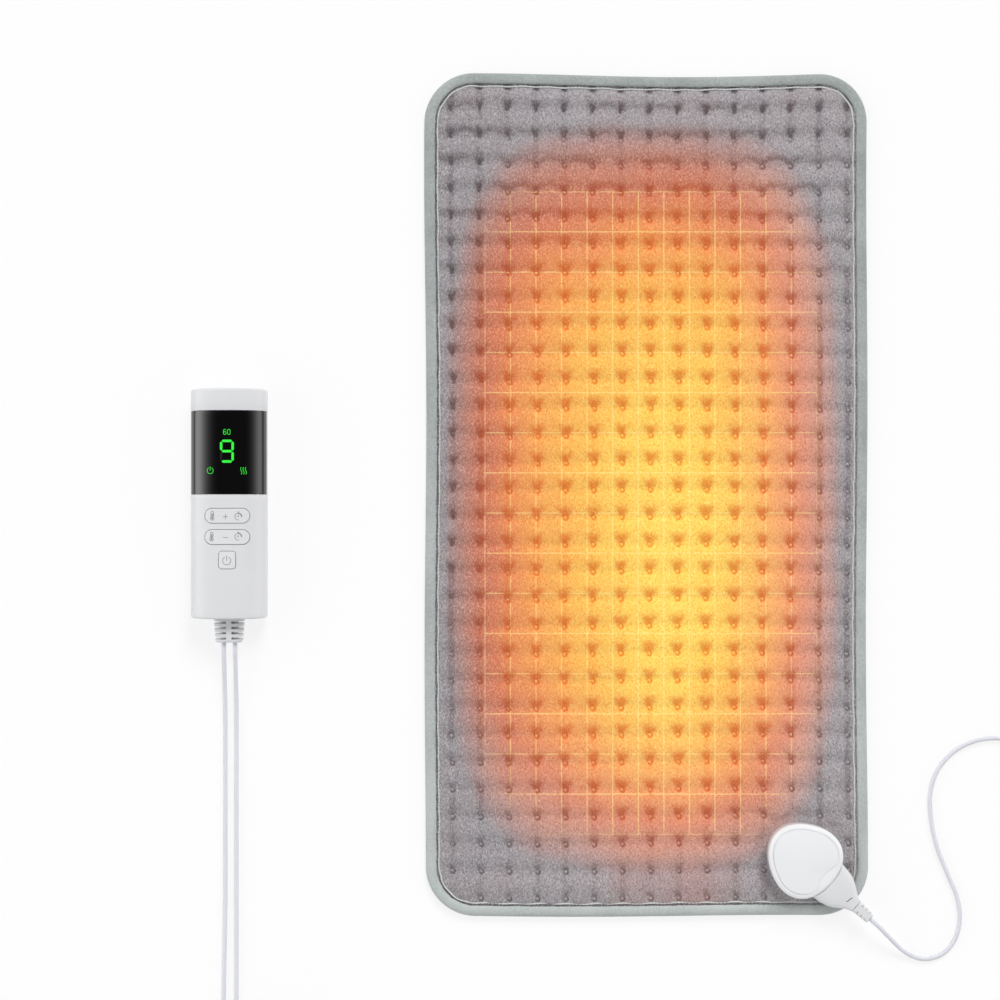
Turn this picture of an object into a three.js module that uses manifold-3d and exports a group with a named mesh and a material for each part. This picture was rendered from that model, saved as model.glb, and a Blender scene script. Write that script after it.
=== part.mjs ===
// A quilted heating pad with a plug-in lead, a hand controller and a mains plug.
// Millimetres, +Z up. The pad lies face up, and the origin is the centre of its underside.
import * as THREE from "three";
import { mergeVertices } from "three/addons/utils/BufferGeometryUtils.js";
import Module from "manifold-3d";

// Clearance between pieces that seat on or in each other
const fitGap = 0.3;

// Flats in each quarter of a rounded corner
const arcSteps = 3;

// Pad
const padWidth = 315;
const padLength = 600;
const padCornerRadius = 35;
const bindingWidth = 10;
const bindingThickness = 0.6;
const bindingRound = 0.7;
const backThickness = 0.7;
const feltThickness = 0.6;
const faceThickness = 0.7; // where a tuft draws the face down
const crownHeight = 4.5; // rise of a puff over its tufts
const tuftRise = 0.2; // tufts over the face's flat edge
const tuftPitchAcross = 20.3;
const tuftPitchAlong = 19.3;
const tuftFromSide = 9; // first column from the binding
const tuftFromTop = 17; // first row from the binding
const edgeFall = 7; // distance over which the puffs die into the binding
const wireDiameter = 1.2;
const wireTopMargin = 24; // wire turns from the pad's top edge
const wireBottomMargin = 38; // wire turns from the pad's lower edge
const wireReturnMargin = 19; // return run from the pad's lower edge

// Socket on the pad
const socketFromSide = 46.4; // centre from the pad's right edge
const socketFromEnd = 41.9; // centre from the pad's lower edge
const plugAngle = -42; // degrees from +X, the way the plug pulls out
const socketRadius = 26.4;
const socketLobe = 0.05;
const socketHeight = 13;
const socketWall = 1.8;
const socketEdgeRound = 3.5;
const socketFaceInset = 4.4;
const socketFaceRise = 0.5;
const clampWidth = 4;
const clampThickness = 1;
const plinthRise = 2.3;
const terminalRadius = 1.5;
const terminalBack = 9; // terminals from the centre, away from the plug
const terminalSpacing = 18;
const socketScrewSpacing = 37;
const socketPostRadius = 3;
const socketScrewHeadRadius = 2.4;
const socketScrewHeadHeight = 1.1;
const socketScrewRadius = 1.2;
const socketScrewLength = 8;
const socketBoardLength = 22;
const socketBoardWidth = 24;
const socketBoardThickness = 1.2;
const pinBlockLength = 7;
const pinBlockWidth = 19;
const pinRadius = 0.8;
const pinSpacing = 6.5;
const pinLength = 19;
const cutoutLength = 9;
const cutoutWidth = 5;
const cutoutHeight = 4;

// Connector plug
const plugLength = 24; // from the socket's flat side to the neck
const plugWidth = 31.2;
const plugHeight = 11.6;
const plugNeckWidth = 10.6;
const plugNeckHeight = 7.4;
const plugWall = 1.6;
const plugOverFace = 0.7; // plug's underside over the clamped face
const contactBlockWidth = 22;
const contactBlockLength = 19;
const sleeveLength = 10;
const sleeveWall = 0.7;
const plugBootLength = 13.5;
const plugBootWidth = 9.4;
const plugBootTipWidth = 7.6;
const plugBootSlots = 3;
const plugBootSlotWidth = 1.2;

// Controller
const controllerGap = 111.2; // from the pad's left edge
const controllerAlong = -6.4; // centre along Y
const controllerWidth = 54;
const controllerLength = 161;
const frontDepth = 13; // front face over the parting line
const backDepth = 13; // back under the parting line, before it is flattened
const backFlat = 0.4; // taken off the back to make its flat
const frontFullness = 2.4;
const backFullness = 4;
const controllerWall = 3;
const controllerEndRound = 1.5;
const windowThickness = 1.5;
const windowLength = 58.6;
const windowFromTop = 15.6;
const windowSill = 1.5; // lower edge of the window over the parting line
const displayLip = 6; // wall left round the display opening
const displayWidth = 27;
const rockerWidth = 31.4;
const rockerHeight = 10.1;
const plusFromTop = 89;
const minusFromTop = 103.8;
const powerFromTop = 119.7;
const powerWidth = 11.8;
const powerHeight = 12.1;
const powerCornerRadius = 2.2;
const keyProud = 0.4;
const keyGap = 0.4;
const keyTravel = 0.8;
const keyLip = 1.2; // retaining lip beyond the opening
const keyLipThickness = 1;
const trunnionWidth = 6;
const rockerTilt = 2.5; // degrees either way
const switchSpread = 20; // between the two switches of a rocker
const switchSide = 6;
const switchBody = 3.4;
const switchPlunger = 1.6;
const switchPlungerRadius = 1.7;
const boardWidth = 30;
const boardEndGap = 6;
const boardThickness = 1.6;
const boardOverParting = 1.5;
const boardPostRadius = 2.2;
const caseScrewAcross = 37;
const caseScrewFromEnd = 13;
const casePostRadius = 3.2;
const caseScrewRadius = 1.3;
const caseScrewHeadRadius = 2.5;
const caseScrewHeadHeight = 1.8;
const caseScrewSeat = 3.2; // head's bearing face over the back
const caseScrewReach = 4; // past the parting line
const bootWidth = 22;
const bootHeight = 11;
const bootTipWidth = 19.3;
const bootTipHeight = 9.4;
const bootLength = 17.4;
const bootAxis = 11; // leads' height over the controller's back
const bootNeckWidth = 16;
const bootNeckHeight = 7;
const bootFlange = 2;
const bootSpine = 3.6;
const bootSlotHeight = 1.6;
const bootSlotPitch = 3.75;
const bootSlots = 4;
const bootCoreRadius = 2.5;
const capacitorLength = 11;
const capacitorWidth = 11;
const capacitorHeight = 6;
const triacWidth = 7;
const triacLength = 10;
const triacHeight = 4.5;
const fuseLength = 12;
const fuseRadius = 2.2;
const terminalBlockLength = 7;
const terminalBlockWidth = 20;
const terminalBlockHeight = 6.5;
const partSpacing = 2; // between components on the board

// Leads and mains plug
const leadDiameter = 3.3;
const leadSpacing = 8;
const coilCentreY = -400;
const coilInnerRadius = 14;
const coilTurns = 10.25;
const coilLayers = 4;
const coilGap = 0.6;
const tieThickness = 0.8;
const tieWidth = 8;
const tieAngle = 50;
const tailLength = 46;
const mainsPlugLength = 26;
const mainsPlugWidth = 24;
const mainsPlugNeckWidth = 15;
const mainsPlugHeight = 17;
const mainsPlugRound = 2;
const mainsBootLength = 24;
const mainsBootRadius = 4.2;
const mainsBootTipRadius = 2.7;
const mainsBootRibs = 3;
const bladeSpacing = 12.7;
const bladeThickness = 1.5;
const bladeWidth = 6.35;
const bladeReach = 17;
const bladeSeat = 6;

// Levels of the pad's layers
const backFlange = bindingThickness + fitGap;
const backTop = backFlange + backThickness;
const feltBottom = backTop + fitGap;
const feltTop = feltBottom + feltThickness;
const wireLevel = feltTop + fitGap + wireDiameter / 2;
const faceBottom = wireLevel + wireDiameter / 2 + fitGap;
const faceFloor = faceBottom + faceThickness;
const bindingTop = faceFloor + fitGap + bindingThickness;
const clampTop = faceBottom + clampThickness;
const clampedFace = clampTop + fitGap + faceThickness;
const coverBottom = clampedFace + fitGap;
const coverTop = coverBottom + socketHeight;
const plinthTop = clampTop + plinthRise;
const plugUnder = clampedFace + plugOverFace;
const plugLevel = plugUnder + plugHeight / 2;

const leadRadius = leadDiameter / 2;
const coilPitch = leadDiameter + coilGap;
const socketX = padWidth / 2 - socketFromSide;
const socketY = -padLength / 2 + socketFromEnd;
const controllerX = -padWidth / 2 - controllerGap - controllerWidth / 2;
const parting = backDepth - backFlat;
const controllerEnd = -controllerLength / 2;

const wasm = await Module();
wasm.setup();

// Closed geometry to a solid that can be joined and cut, and back
function solid(geometry) {
  const bare = geometry.clone();
  bare.deleteAttribute("normal");
  bare.deleteAttribute("uv");
  const merged = mergeVertices(bare, 1e-4);
  return new wasm.Manifold(
    new wasm.Mesh({
      numProp: 3,
      vertProperties: new Float32Array(merged.attributes.position.array),
      triVerts: new Uint32Array(merged.index.array),
    }),
  );
}

function geometryOf(made) {
  const mesh = made.getMesh();
  const geometry = new THREE.BufferGeometry();
  geometry.setAttribute("position", new THREE.BufferAttribute(new Float32Array(mesh.vertProperties), 3));
  geometry.setIndex(new THREE.BufferAttribute(new Uint32Array(mesh.triVerts), 1));
  return geometry;
}

function block(x0, x1, y0, y1, z0, z1) {
  const box = new THREE.BoxGeometry(x1 - x0, y1 - y0, z1 - z0);
  return solid(box.translate((x0 + x1) / 2, (y0 + y1) / 2, (z0 + z1) / 2));
}

function rod(radius, x, y, z0, z1, sides = 10) {
  const bar = new THREE.CylinderGeometry(radius, radius, z1 - z0, sides);
  return solid(bar.rotateX(Math.PI / 2).translate(x, y, (z0 + z1) / 2));
}

function rodAlongX(radius, x0, x1, y, z, sides = 8) {
  const bar = new THREE.CylinderGeometry(radius, radius, x1 - x0, sides);
  return solid(bar.rotateZ(Math.PI / 2).translate((x0 + x1) / 2, y, z));
}

function rodAlongY(radius, y0, y1, x, z, sides = 8) {
  const bar = new THREE.CylinderGeometry(radius, radius, y1 - y0, sides);
  return solid(bar.translate(x, (y0 + y1) / 2, z));
}

function prism(shape, z0, z1) {
  const slab = new THREE.ExtrudeGeometry(shape, {
    depth: z1 - z0,
    bevelEnabled: false,
    curveSegments: arcSteps,
  });
  return solid(slab.translate(0, 0, z0));
}

// A prism with its long edges rounded inside its outline
function softPrism(shape, z0, z1, round, segments = 1) {
  const slab = new THREE.ExtrudeGeometry(shape, {
    depth: z1 - z0 - 2 * round,
    bevelThickness: round,
    bevelSize: round,
    bevelOffset: -round,
    bevelSegments: segments,
    curveSegments: arcSteps,
  });
  return solid(slab.translate(0, 0, z0 + round));
}

// Turns a prism drawn in X and Z, so that it runs from y0 to y1
function prismAlongY(shape, y0, y1, round = 0) {
  const slab = round > 0 ? softPrism(shape, 0, y1 - y0, round, 2) : prism(shape, 0, y1 - y0);
  return slab.rotate([90, 0, 0]).translate([0, y1, 0]);
}

function roundedRectangle(width, length, radius) {
  const x = width / 2;
  const y = length / 2;
  const shape = new THREE.Shape();
  shape.moveTo(x, -y + radius);
  shape.lineTo(x, y - radius);
  shape.absarc(x - radius, y - radius, radius, 0, Math.PI / 2, false);
  shape.lineTo(-x + radius, y);
  shape.absarc(-x + radius, y - radius, radius, Math.PI / 2, Math.PI, false);
  shape.lineTo(-x, -y + radius);
  shape.absarc(-x + radius, -y + radius, radius, Math.PI, 1.5 * Math.PI, false);
  shape.lineTo(x - radius, -y);
  shape.absarc(x - radius, -y + radius, radius, 1.5 * Math.PI, 2 * Math.PI, false);
  return shape;
}

function stadium(width, height) {
  const radius = height / 2;
  const reach = width / 2 - radius;
  const shape = new THREE.Shape();
  shape.absarc(reach, 0, radius, -Math.PI / 2, Math.PI / 2, false);
  shape.absarc(-reach, 0, radius, Math.PI / 2, 1.5 * Math.PI, false);
  return shape;
}

function padOutline(inset) {
  return roundedRectangle(padWidth - 2 * inset, padLength - 2 * inset, padCornerRadius - inset);
}

// The socket's three-lobed outline, its flat side facing the plug
function socketOutline(grow) {
  const points = [];
  for (let i = 0; i < 27; i += 1) {
    const angle = (i / 27) * 2 * Math.PI;
    const radius = socketRadius * (1 - socketLobe * Math.cos(3 * angle)) + grow;
    points.push(new THREE.Vector2(radius * Math.cos(angle), radius * Math.sin(angle)));
  }
  return new THREE.Shape(points);
}

// Closed body through rings of points that all have the same count
function loft(rings) {
  const count = rings[0].length;
  const positions = [];
  const triangles = [];
  rings.forEach((ring) => ring.forEach((point) => positions.push(point.x, point.y, point.z)));
  for (let r = 0; r + 1 < rings.length; r += 1) {
    for (let i = 0; i < count; i += 1) {
      const a = r * count + i;
      const b = r * count + ((i + 1) % count);
      triangles.push(a, b, b + count, a, b + count, a + count);
    }
  }
  const last = (rings.length - 1) * count;
  for (let i = 1; i + 1 < count; i += 1) {
    triangles.push(0, i + 1, i);
    triangles.push(last, last + i, last + i + 1);
  }
  const geometry = new THREE.BufferGeometry();
  geometry.setAttribute("position", new THREE.Float32BufferAttribute(positions, 3));
  geometry.setIndex(triangles);
  return geometry;
}

// Round tube through points, with flat ends
function tube(points, radius, sides) {
  let side = new THREE.Vector3(0, 0, 1);
  const rings = points.map((point, i) => {
    const before = points[Math.max(i - 1, 0)];
    const after = points[Math.min(i + 1, points.length - 1)];
    const along = new THREE.Vector3().subVectors(after, before).normalize();
    side = side.clone().addScaledVector(along, -side.dot(along)).normalize();
    const across = new THREE.Vector3().crossVectors(along, side);
    return Array.from({ length: sides }, (_, k) => {
      const angle = ((k + 0.5) / sides) * 2 * Math.PI;
      return point
        .clone()
        .addScaledVector(side, radius * Math.cos(angle))
        .addScaledVector(across, radius * Math.sin(angle));
    });
  });
  return loft(rings);
}

const part = new THREE.Group();
part.name = "heating_pad_with_controller";
const socketGroup = new THREE.Group();
socketGroup.position.set(socketX, socketY, 0);
socketGroup.rotation.z = THREE.MathUtils.degToRad(plugAngle);
const controllerGroup = new THREE.Group();
controllerGroup.position.set(controllerX, controllerAlong, 0);
part.add(socketGroup, controllerGroup);

function finish(color, roughness, metalness = 0) {
  return { color, roughness, metalness };
}

const flannel = finish(0xa0969b, 0.95);
const tape = finish(0xa5afac, 0.85);
const felt = finish(0xd8d4cc, 0.95);
const whitePlastic = finish(0xe6e6e8, 0.35);
const greyPlastic = finish(0xd2d2d4, 0.45);
const blackGloss = finish(0x08080a, 0.08);
const darkPlastic = finish(0x2a2a2c, 0.5);
const boardGreen = finish(0x2c6a44, 0.5);
const steel = finish(0xb8b8bc, 0.3, 1);
const brass = finish(0xc8a456, 0.3, 1);
const whiteCord = finish(0xeeedf2, 0.4);
const wireRed = finish(0x9a4038, 0.5);
const glass = finish(0xcfd8d8, 0.1);

function piece(name, geometry, look, parent = part) {
  const mesh = new THREE.Mesh(geometry, new THREE.MeshStandardMaterial(look));
  mesh.name = name;
  parent.add(mesh);
}

function solidPiece(name, made, look, parent = part) {
  piece(name, geometryOf(made), look, parent);
}

// Back cover: its edge is folded in over the binding's lower flap
const backMiddle = prism(padOutline(bindingWidth + fitGap), 0, backTop);
const layerEdge = padOutline(bindingThickness + fitGap);
solidPiece("back_cover", backMiddle.add(prism(layerEdge, backFlange, backTop)), flannel);
solidPiece("felt_carrier", prism(layerEdge, feltBottom, feltTop), felt);

// Binding folded over the edges of the layers
const bindingOuter = softPrism(padOutline(0), 0, bindingTop, bindingRound);
const channelTop = bindingTop - bindingThickness;
const bindingChannel = prism(padOutline(bindingThickness), bindingThickness, channelTop);
const bindingOpening = prism(padOutline(bindingWidth), -1, bindingTop + 1);
solidPiece("edge_binding", bindingOuter.subtract(bindingChannel).subtract(bindingOpening), tape);

// Lines of the quilt's grid: the edges at the binding, and the tufts between them
const quiltHalfWidth = padWidth / 2 - bindingWidth - 2 * fitGap;
const quiltHalfLength = padLength / 2 - bindingWidth - 2 * fitGap;
function gridLines(half, first, pitch) {
  const lines = [-half];
  for (let place = -half + first; place < half - 0.4 * pitch; place += pitch) lines.push(place);
  return [...lines, half];
}
const tuftX = gridLines(quiltHalfWidth, tuftFromSide, tuftPitchAcross);
const tuftY = gridLines(quiltHalfLength, tuftFromTop, tuftPitchAlong).map((y) => -y);
tuftY.reverse();

// Distance inside the binding's inner edge
function insideEdge(x, y) {
  const radius = padCornerRadius - bindingWidth - 2 * fitGap;
  const dx = Math.abs(x) - (quiltHalfWidth - radius);
  const dy = Math.abs(y) - (quiltHalfLength - radius);
  if (dx > 0 && dy > 0) return radius - Math.hypot(dx, dy);
  return radius - Math.max(dx, dy);
}

// Quilt with a drawn-down corner at every tuft and a crown in every cell
function quilt() {
  const columns = tuftX.length;
  const rows = tuftY.length;
  const positions = [];
  const triangles = [];
  tuftY.forEach((y) => tuftX.forEach((x) => positions.push(x, y, faceFloor + tuftRise)));
  const crowns = positions.length / 3;
  for (let j = 0; j + 1 < rows; j += 1) {
    for (let i = 0; i + 1 < columns; i += 1) {
      const x = (tuftX[i] + tuftX[i + 1]) / 2;
      const y = (tuftY[j] + tuftY[j + 1]) / 2;
      const fullness = THREE.MathUtils.smoothstep(insideEdge(x, y), -edgeFall, edgeFall);
      const away = Math.hypot(x - socketX, y - socketY) - socketRadius - clampWidth;
      const clear = THREE.MathUtils.smoothstep(away, 0.3 * tuftPitchAcross, tuftPitchAcross);
      positions.push(x, y, faceFloor + tuftRise + crownHeight * fullness * clear);
      const crown = crowns + j * (columns - 1) + i;
      const a = j * columns + i;
      const ring = [a, a + 1, a + columns + 1, a + columns];
      ring.forEach((corner, k) => triangles.push(corner, ring[(k + 1) % 4], crown));
    }
  }
  const south = tuftX.map((_, i) => i);
  const east = tuftY.map((_, j) => j * columns + columns - 1);
  const north = south.map((v) => v + (rows - 1) * columns).reverse();
  const west = east.map((v) => v - columns + 1).reverse();
  const base = positions.length / 3;
  [south, east, north, west].forEach((edge, k) => {
    positions.push(positions[3 * edge[0]], positions[3 * edge[0] + 1], faceFloor);
    edge.slice(1).forEach((v, i) => triangles.push(base + k, v, edge[i]));
    triangles.push(base + k, base + ((k + 1) % 4), edge[edge.length - 1]);
  });
  triangles.push(base, base + 2, base + 1, base, base + 3, base + 2);
  const geometry = new THREE.BufferGeometry();
  geometry.setAttribute("position", new THREE.Float32BufferAttribute(positions, 3));
  geometry.setIndex(triangles);
  return solid(geometry);
}

function atSocket(made) {
  return made.rotate([0, 0, plugAngle]).translate([socketX, socketY, 0]);
}

// Face cover: quilted inside the binding, flat under its flap, and clamped flat round the socket
const plugFront = socketRadius * (1 - socketLobe);
const plugNeck = plugFront + plugLength;
const plugPath = plugNeck + plugBootLength + 2 * fitGap;
const quiltRoom = prism(padOutline(bindingWidth + fitGap), faceBottom - 1, faceFloor + 2 * crownHeight);
const clampLand = prism(socketOutline(clampWidth + 1), faceBottom, clampedFace);
let face = quilt().intersect(quiltRoom).add(prism(layerEdge, faceBottom, faceFloor));
face = face.add(atSocket(clampLand).intersect(quiltRoom));
face = face.subtract(atSocket(prism(socketOutline(clampWidth + fitGap), -1, clampTop + fitGap)));
face = face.subtract(atSocket(prism(socketOutline(-socketWall), -1, coverTop)));
const plugRoom = block(0, plugPath, -plugWidth / 2 - 1, plugWidth / 2 + 1, plugUnder - fitGap, coverTop);
face = face.subtract(atSocket(plugRoom));
solidPiece("quilted_face", face, flannel);

// Heating wire: up and down the channels between the tuft columns, both ends at the socket's terminals
const socketTurn = new THREE.Matrix4().makeRotationZ(THREE.MathUtils.degToRad(plugAngle));
function terminalPoint(side) {
  const point = new THREE.Vector3(-terminalBack, (side * terminalSpacing) / 2, 0);
  point.applyMatrix4(socketTurn);
  return new THREE.Vector3(point.x + socketX, point.y + socketY, wireLevel);
}

function wirePoints() {
  const upper = terminalPoint(1);
  const lower = terminalPoint(-1);
  const turn = tuftPitchAcross / 2;
  const top = padLength / 2 - wireTopMargin - turn;
  const bottom = -padLength / 2 + wireBottomMargin;
  const overSocket = socketY + socketRadius + clampWidth + turn;
  const columns = tuftX.slice(1, -1);
  const channels = columns.map((x) => x + turn).filter((x) => x < upper.x + turn);
  channels.reverse();
  const inside = channels.filter((x) => insideEdge(x, 0) > turn);
  const runs = inside.length - (inside.length % 2);
  const points = [upper, new THREE.Vector3(inside[0], overSocket, wireLevel)];
  for (let k = 0; k + 1 < runs; k += 1) {
    const rising = k % 2 === 0;
    const floorEnd = inside[k] > socketX - socketRadius - clampWidth ? overSocket : bottom;
    const end = rising ? top : floorEnd;
    const middle = (inside[k] + inside[k + 1]) / 2;
    for (let s = 0; s <= 5; s += 1) {
      const angle = (s / 5) * Math.PI;
      const x = middle + turn * Math.cos(angle);
      const y = end + (rising ? 1 : -1) * turn * Math.sin(angle);
      points.push(new THREE.Vector3(x, y, wireLevel));
    }
  }
  const low = -padLength / 2 + wireReturnMargin;
  const lastX = inside[runs - 1];
  points.push(new THREE.Vector3(lastX, low + turn, wireLevel));
  points.push(new THREE.Vector3(lastX + 0.3 * turn, low + 0.3 * turn, wireLevel));
  points.push(new THREE.Vector3(lastX + turn, low, wireLevel));
  points.push(new THREE.Vector3(lower.x - turn, low, wireLevel));
  points.push(new THREE.Vector3(lower.x - 0.3 * turn, low + 0.3 * turn, wireLevel));
  points.push(new THREE.Vector3(lower.x, low + turn, wireLevel));
  points.push(lower);
  return points;
}
piece("heating_wire", tube(wirePoints(), wireDiameter / 2, 5), wireRed);

// Socket base: a flange under the face fabric and a plinth inside the cover
const postOffset = socketScrewSpacing / 2;
const sides = [-1, 1];
const headSeat = faceBottom + fitGap + socketScrewHeadHeight;
let base = prism(socketOutline(clampWidth), faceBottom, clampTop);
base = base.add(prism(socketOutline(-socketWall - fitGap), faceBottom, plinthTop));
sides.forEach((side) => {
  const y = side * postOffset;
  base = base.subtract(rod(socketScrewHeadRadius + fitGap, 0, y, faceBottom - 1, headSeat + fitGap));
  base = base.subtract(rod(socketScrewRadius + fitGap, 0, y, faceBottom - 1, plinthTop + 1));
  const across = (side * terminalSpacing) / 2;
  base = base.subtract(rod(terminalRadius + fitGap, -terminalBack, across, faceBottom - 1, plinthTop + 1));
});
solidPiece("socket_base", base, whitePlastic, socketGroup);
sides.forEach((side, i) => {
  const across = (side * terminalSpacing) / 2;
  const terminal = rod(terminalRadius, -terminalBack, across, faceBottom, plinthTop);
  solidPiece(`heater_terminal_${i + 1}`, terminal, brass, socketGroup);
  const y = side * postOffset;
  const head = rod(socketScrewHeadRadius, 0, y, faceBottom + fitGap, headSeat);
  const shank = rod(socketScrewRadius, 0, y, headSeat - 0.5, headSeat + socketScrewLength);
  solidPiece(`socket_screw_${i + 1}`, head.add(shank), steel, socketGroup);
});

// Socket cover with its raised face, screw posts and mouth for the plug
const contactBlockHeight = plugHeight - 2 * (plugWall + fitGap);
const mouthHalfWidth = contactBlockWidth / 2 + fitGap;
const mouthHalfHeight = contactBlockHeight / 2 + fitGap;
let cover = softPrism(socketOutline(0), coverBottom - 2 * socketEdgeRound, coverTop, socketEdgeRound, 2);
cover = cover.add(prism(socketOutline(-socketFaceInset), coverTop - 1, coverTop + socketFaceRise));
cover = cover.subtract(prism(socketOutline(1), coverBottom - 3 * socketEdgeRound, coverBottom));
cover = cover.subtract(prism(socketOutline(-socketWall), coverBottom - 1, coverTop - socketWall));
sides.forEach((side) => {
  const y = side * postOffset;
  cover = cover.add(rod(socketPostRadius, 0, y, plinthTop + fitGap, coverTop - 0.5 * socketWall));
  const holeTop = headSeat + socketScrewLength + fitGap;
  cover = cover.subtract(rod(socketScrewRadius + fitGap, 0, y, plinthTop, holeTop));
});
const mouth = block(
  0,
  plugPath,
  -mouthHalfWidth,
  mouthHalfWidth,
  plugLevel - mouthHalfHeight,
  plugLevel + mouthHalfHeight,
);
solidPiece("socket_cover", cover.subtract(mouth), whitePlastic, socketGroup);

// Terminal board, pin block, pins and over-temperature cut-out inside the socket
const boardFront = pinLength - sleeveLength - 4;
const boardBack = boardFront - socketBoardLength;
const socketBoardTop = plinthTop + fitGap + socketBoardThickness;
const onSocketBoard = socketBoardTop + fitGap;
const boardHalfWidth = socketBoardWidth / 2;
solidPiece(
  "terminal_board",
  block(boardBack, boardFront, -boardHalfWidth, boardHalfWidth, plinthTop + fitGap, socketBoardTop),
  boardGreen,
  socketGroup,
);
let pinBlock = block(
  boardFront - pinBlockLength,
  boardFront,
  -pinBlockWidth / 2,
  pinBlockWidth / 2,
  onSocketBoard,
  plugLevel + 3 * pinRadius,
);
const pinStart = boardFront - pinBlockLength + 1;
[-1, 0, 1].forEach((slot, i) => {
  const y = slot * pinSpacing;
  const bore = rodAlongX(pinRadius + fitGap, pinStart - fitGap, boardFront + 1, y, plugLevel);
  pinBlock = pinBlock.subtract(bore);
  const pin = rodAlongX(pinRadius, pinStart, pinLength, y, plugLevel);
  solidPiece(`socket_pin_${i + 1}`, pin, brass, socketGroup);
});
solidPiece("pin_block", pinBlock, darkPlastic, socketGroup);
const cutoutBack = boardBack + 1;
solidPiece(
  "overheat_cutout",
  block(
    cutoutBack,
    cutoutBack + cutoutLength,
    -cutoutWidth / 2,
    cutoutWidth / 2,
    onSocketBoard,
    onSocketBoard + cutoutHeight,
  ),
  darkPlastic,
  socketGroup,
);

// Connector plug: full at the socket, drawn in to a neck, its section a rounded oblong
function plugRing(u, inset) {
  const t = THREE.MathUtils.clamp((u - plugFront + 4) / (plugLength + 4), 0, 1);
  const bell = (1 + Math.cos(Math.PI * t ** 1.6)) / 2;
  const halfWidth = (plugNeckWidth + (plugWidth - plugNeckWidth) * bell) / 2 - inset;
  const halfHeight = (plugNeckHeight + (plugHeight - plugNeckHeight) * bell) / 2 - inset;
  return Array.from({ length: 20 }, (_, k) => {
    const angle = ((k + 0.5) / 20) * 2 * Math.PI;
    const c = Math.cos(angle);
    const s = Math.sin(angle);
    const y = halfWidth * Math.sign(c) * Math.abs(c) ** 0.6;
    const z = halfHeight * Math.sign(s) * Math.abs(s) ** 0.6;
    return new THREE.Vector3(u, y, plugLevel + z);
  });
}

function plugBody(inset, from, to, count) {
  const rings = [];
  for (let i = 0; i <= count; i += 1) {
    rings.push(plugRing(from + ((to - from) * i) / count, inset));
  }
  return solid(loft(rings));
}

const blockBack = pinLength - sleeveLength;
const blockFront = blockBack + contactBlockLength;
const plugHollowEnd = plugNeck - plugWall;
let plugShell = plugBody(0, 0.5 * socketRadius, plugNeck, 9);
plugShell = plugShell.subtract(prism(socketOutline(fitGap), 0, 2 * coverTop));
plugShell = plugShell.subtract(plugBody(plugWall, plugFront + plugWall, plugHollowEnd, 5));
plugShell = plugShell.subtract(
  block(
    0,
    blockFront + fitGap,
    -mouthHalfWidth,
    mouthHalfWidth,
    plugLevel - mouthHalfHeight,
    plugLevel + mouthHalfHeight,
  ),
);
const shellRoom = [0, 2 * plugPath, -plugWidth, plugWidth];
const upperRoom = block(...shellRoom, plugLevel + fitGap / 2, 2 * coverTop);
const lowerRoom = block(...shellRoom, -coverTop, plugLevel - fitGap / 2);
solidPiece("plug_upper_shell", plugShell.intersect(upperRoom), whitePlastic, socketGroup);
solidPiece("plug_lower_shell", plugShell.intersect(lowerRoom), whitePlastic, socketGroup);

// Contact block of the plug with a sleeve for each pin
let contactBlock = block(
  blockBack,
  blockFront,
  -contactBlockWidth / 2,
  contactBlockWidth / 2,
  plugLevel - contactBlockHeight / 2,
  plugLevel + contactBlockHeight / 2,
);
const sleeveRadius = pinRadius + fitGap + sleeveWall;
[-1, 0, 1].forEach((slot, i) => {
  const y = slot * pinSpacing;
  const sleeveEnd = blockBack + 1 + sleeveLength;
  contactBlock = contactBlock.subtract(
    rodAlongX(sleeveRadius + fitGap, blockBack - 1, sleeveEnd + fitGap, y, plugLevel),
  );
  const sleeve = rodAlongX(sleeveRadius, blockBack + 1, sleeveEnd, y, plugLevel);
  const bore = rodAlongX(pinRadius + fitGap, blockBack, pinLength + 2 * fitGap, y, plugLevel);
  solidPiece(`contact_sleeve_${i + 1}`, sleeve.subtract(bore), brass, socketGroup);
});
solidPiece("contact_block", contactBlock, greyPlastic, socketGroup);

// Slotted boot on the plug's neck
function bootRing(along, halfWidth, halfHeight) {
  return Array.from({ length: 12 }, (_, k) => {
    const angle = ((k + 0.5) / 12) * 2 * Math.PI;
    const c = Math.cos(angle);
    const s = Math.sin(angle);
    const across = halfWidth * Math.sign(c) * Math.abs(c) ** 0.55;
    const up = halfHeight * Math.sign(s) * Math.abs(s) ** 0.55;
    return new THREE.Vector3(along, across, up);
  });
}

const plugBootStart = plugNeck + fitGap;
const plugBootEnd = plugBootStart + plugBootLength;
const plugBootSlim = plugNeckHeight / plugNeckWidth;
let plugBoot = solid(
  loft([
    bootRing(plugBootStart, plugBootWidth / 2, (plugBootWidth * plugBootSlim) / 2),
    bootRing(plugBootEnd - 1, plugBootTipWidth / 2, (plugBootTipWidth * plugBootSlim) / 2),
    bootRing(plugBootEnd, plugBootTipWidth / 2 - 0.8, (plugBootTipWidth * plugBootSlim) / 2 - 0.5),
  ]),
);
for (let i = 0; i < plugBootSlots; i += 1) {
  const x = plugBootStart + (plugBootLength * (i + 1)) / (plugBootSlots + 1);
  const slot = block(
    x - plugBootSlotWidth / 2,
    x + plugBootSlotWidth / 2,
    leadRadius,
    plugBootWidth,
    -plugHeight,
    plugHeight,
  );
  plugBoot = plugBoot.subtract(slot).subtract(slot.mirror([0, 1, 0]));
}
solidPiece("plug_boot", plugBoot.translate([0, 0, plugLevel]), whitePlastic, socketGroup);

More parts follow.
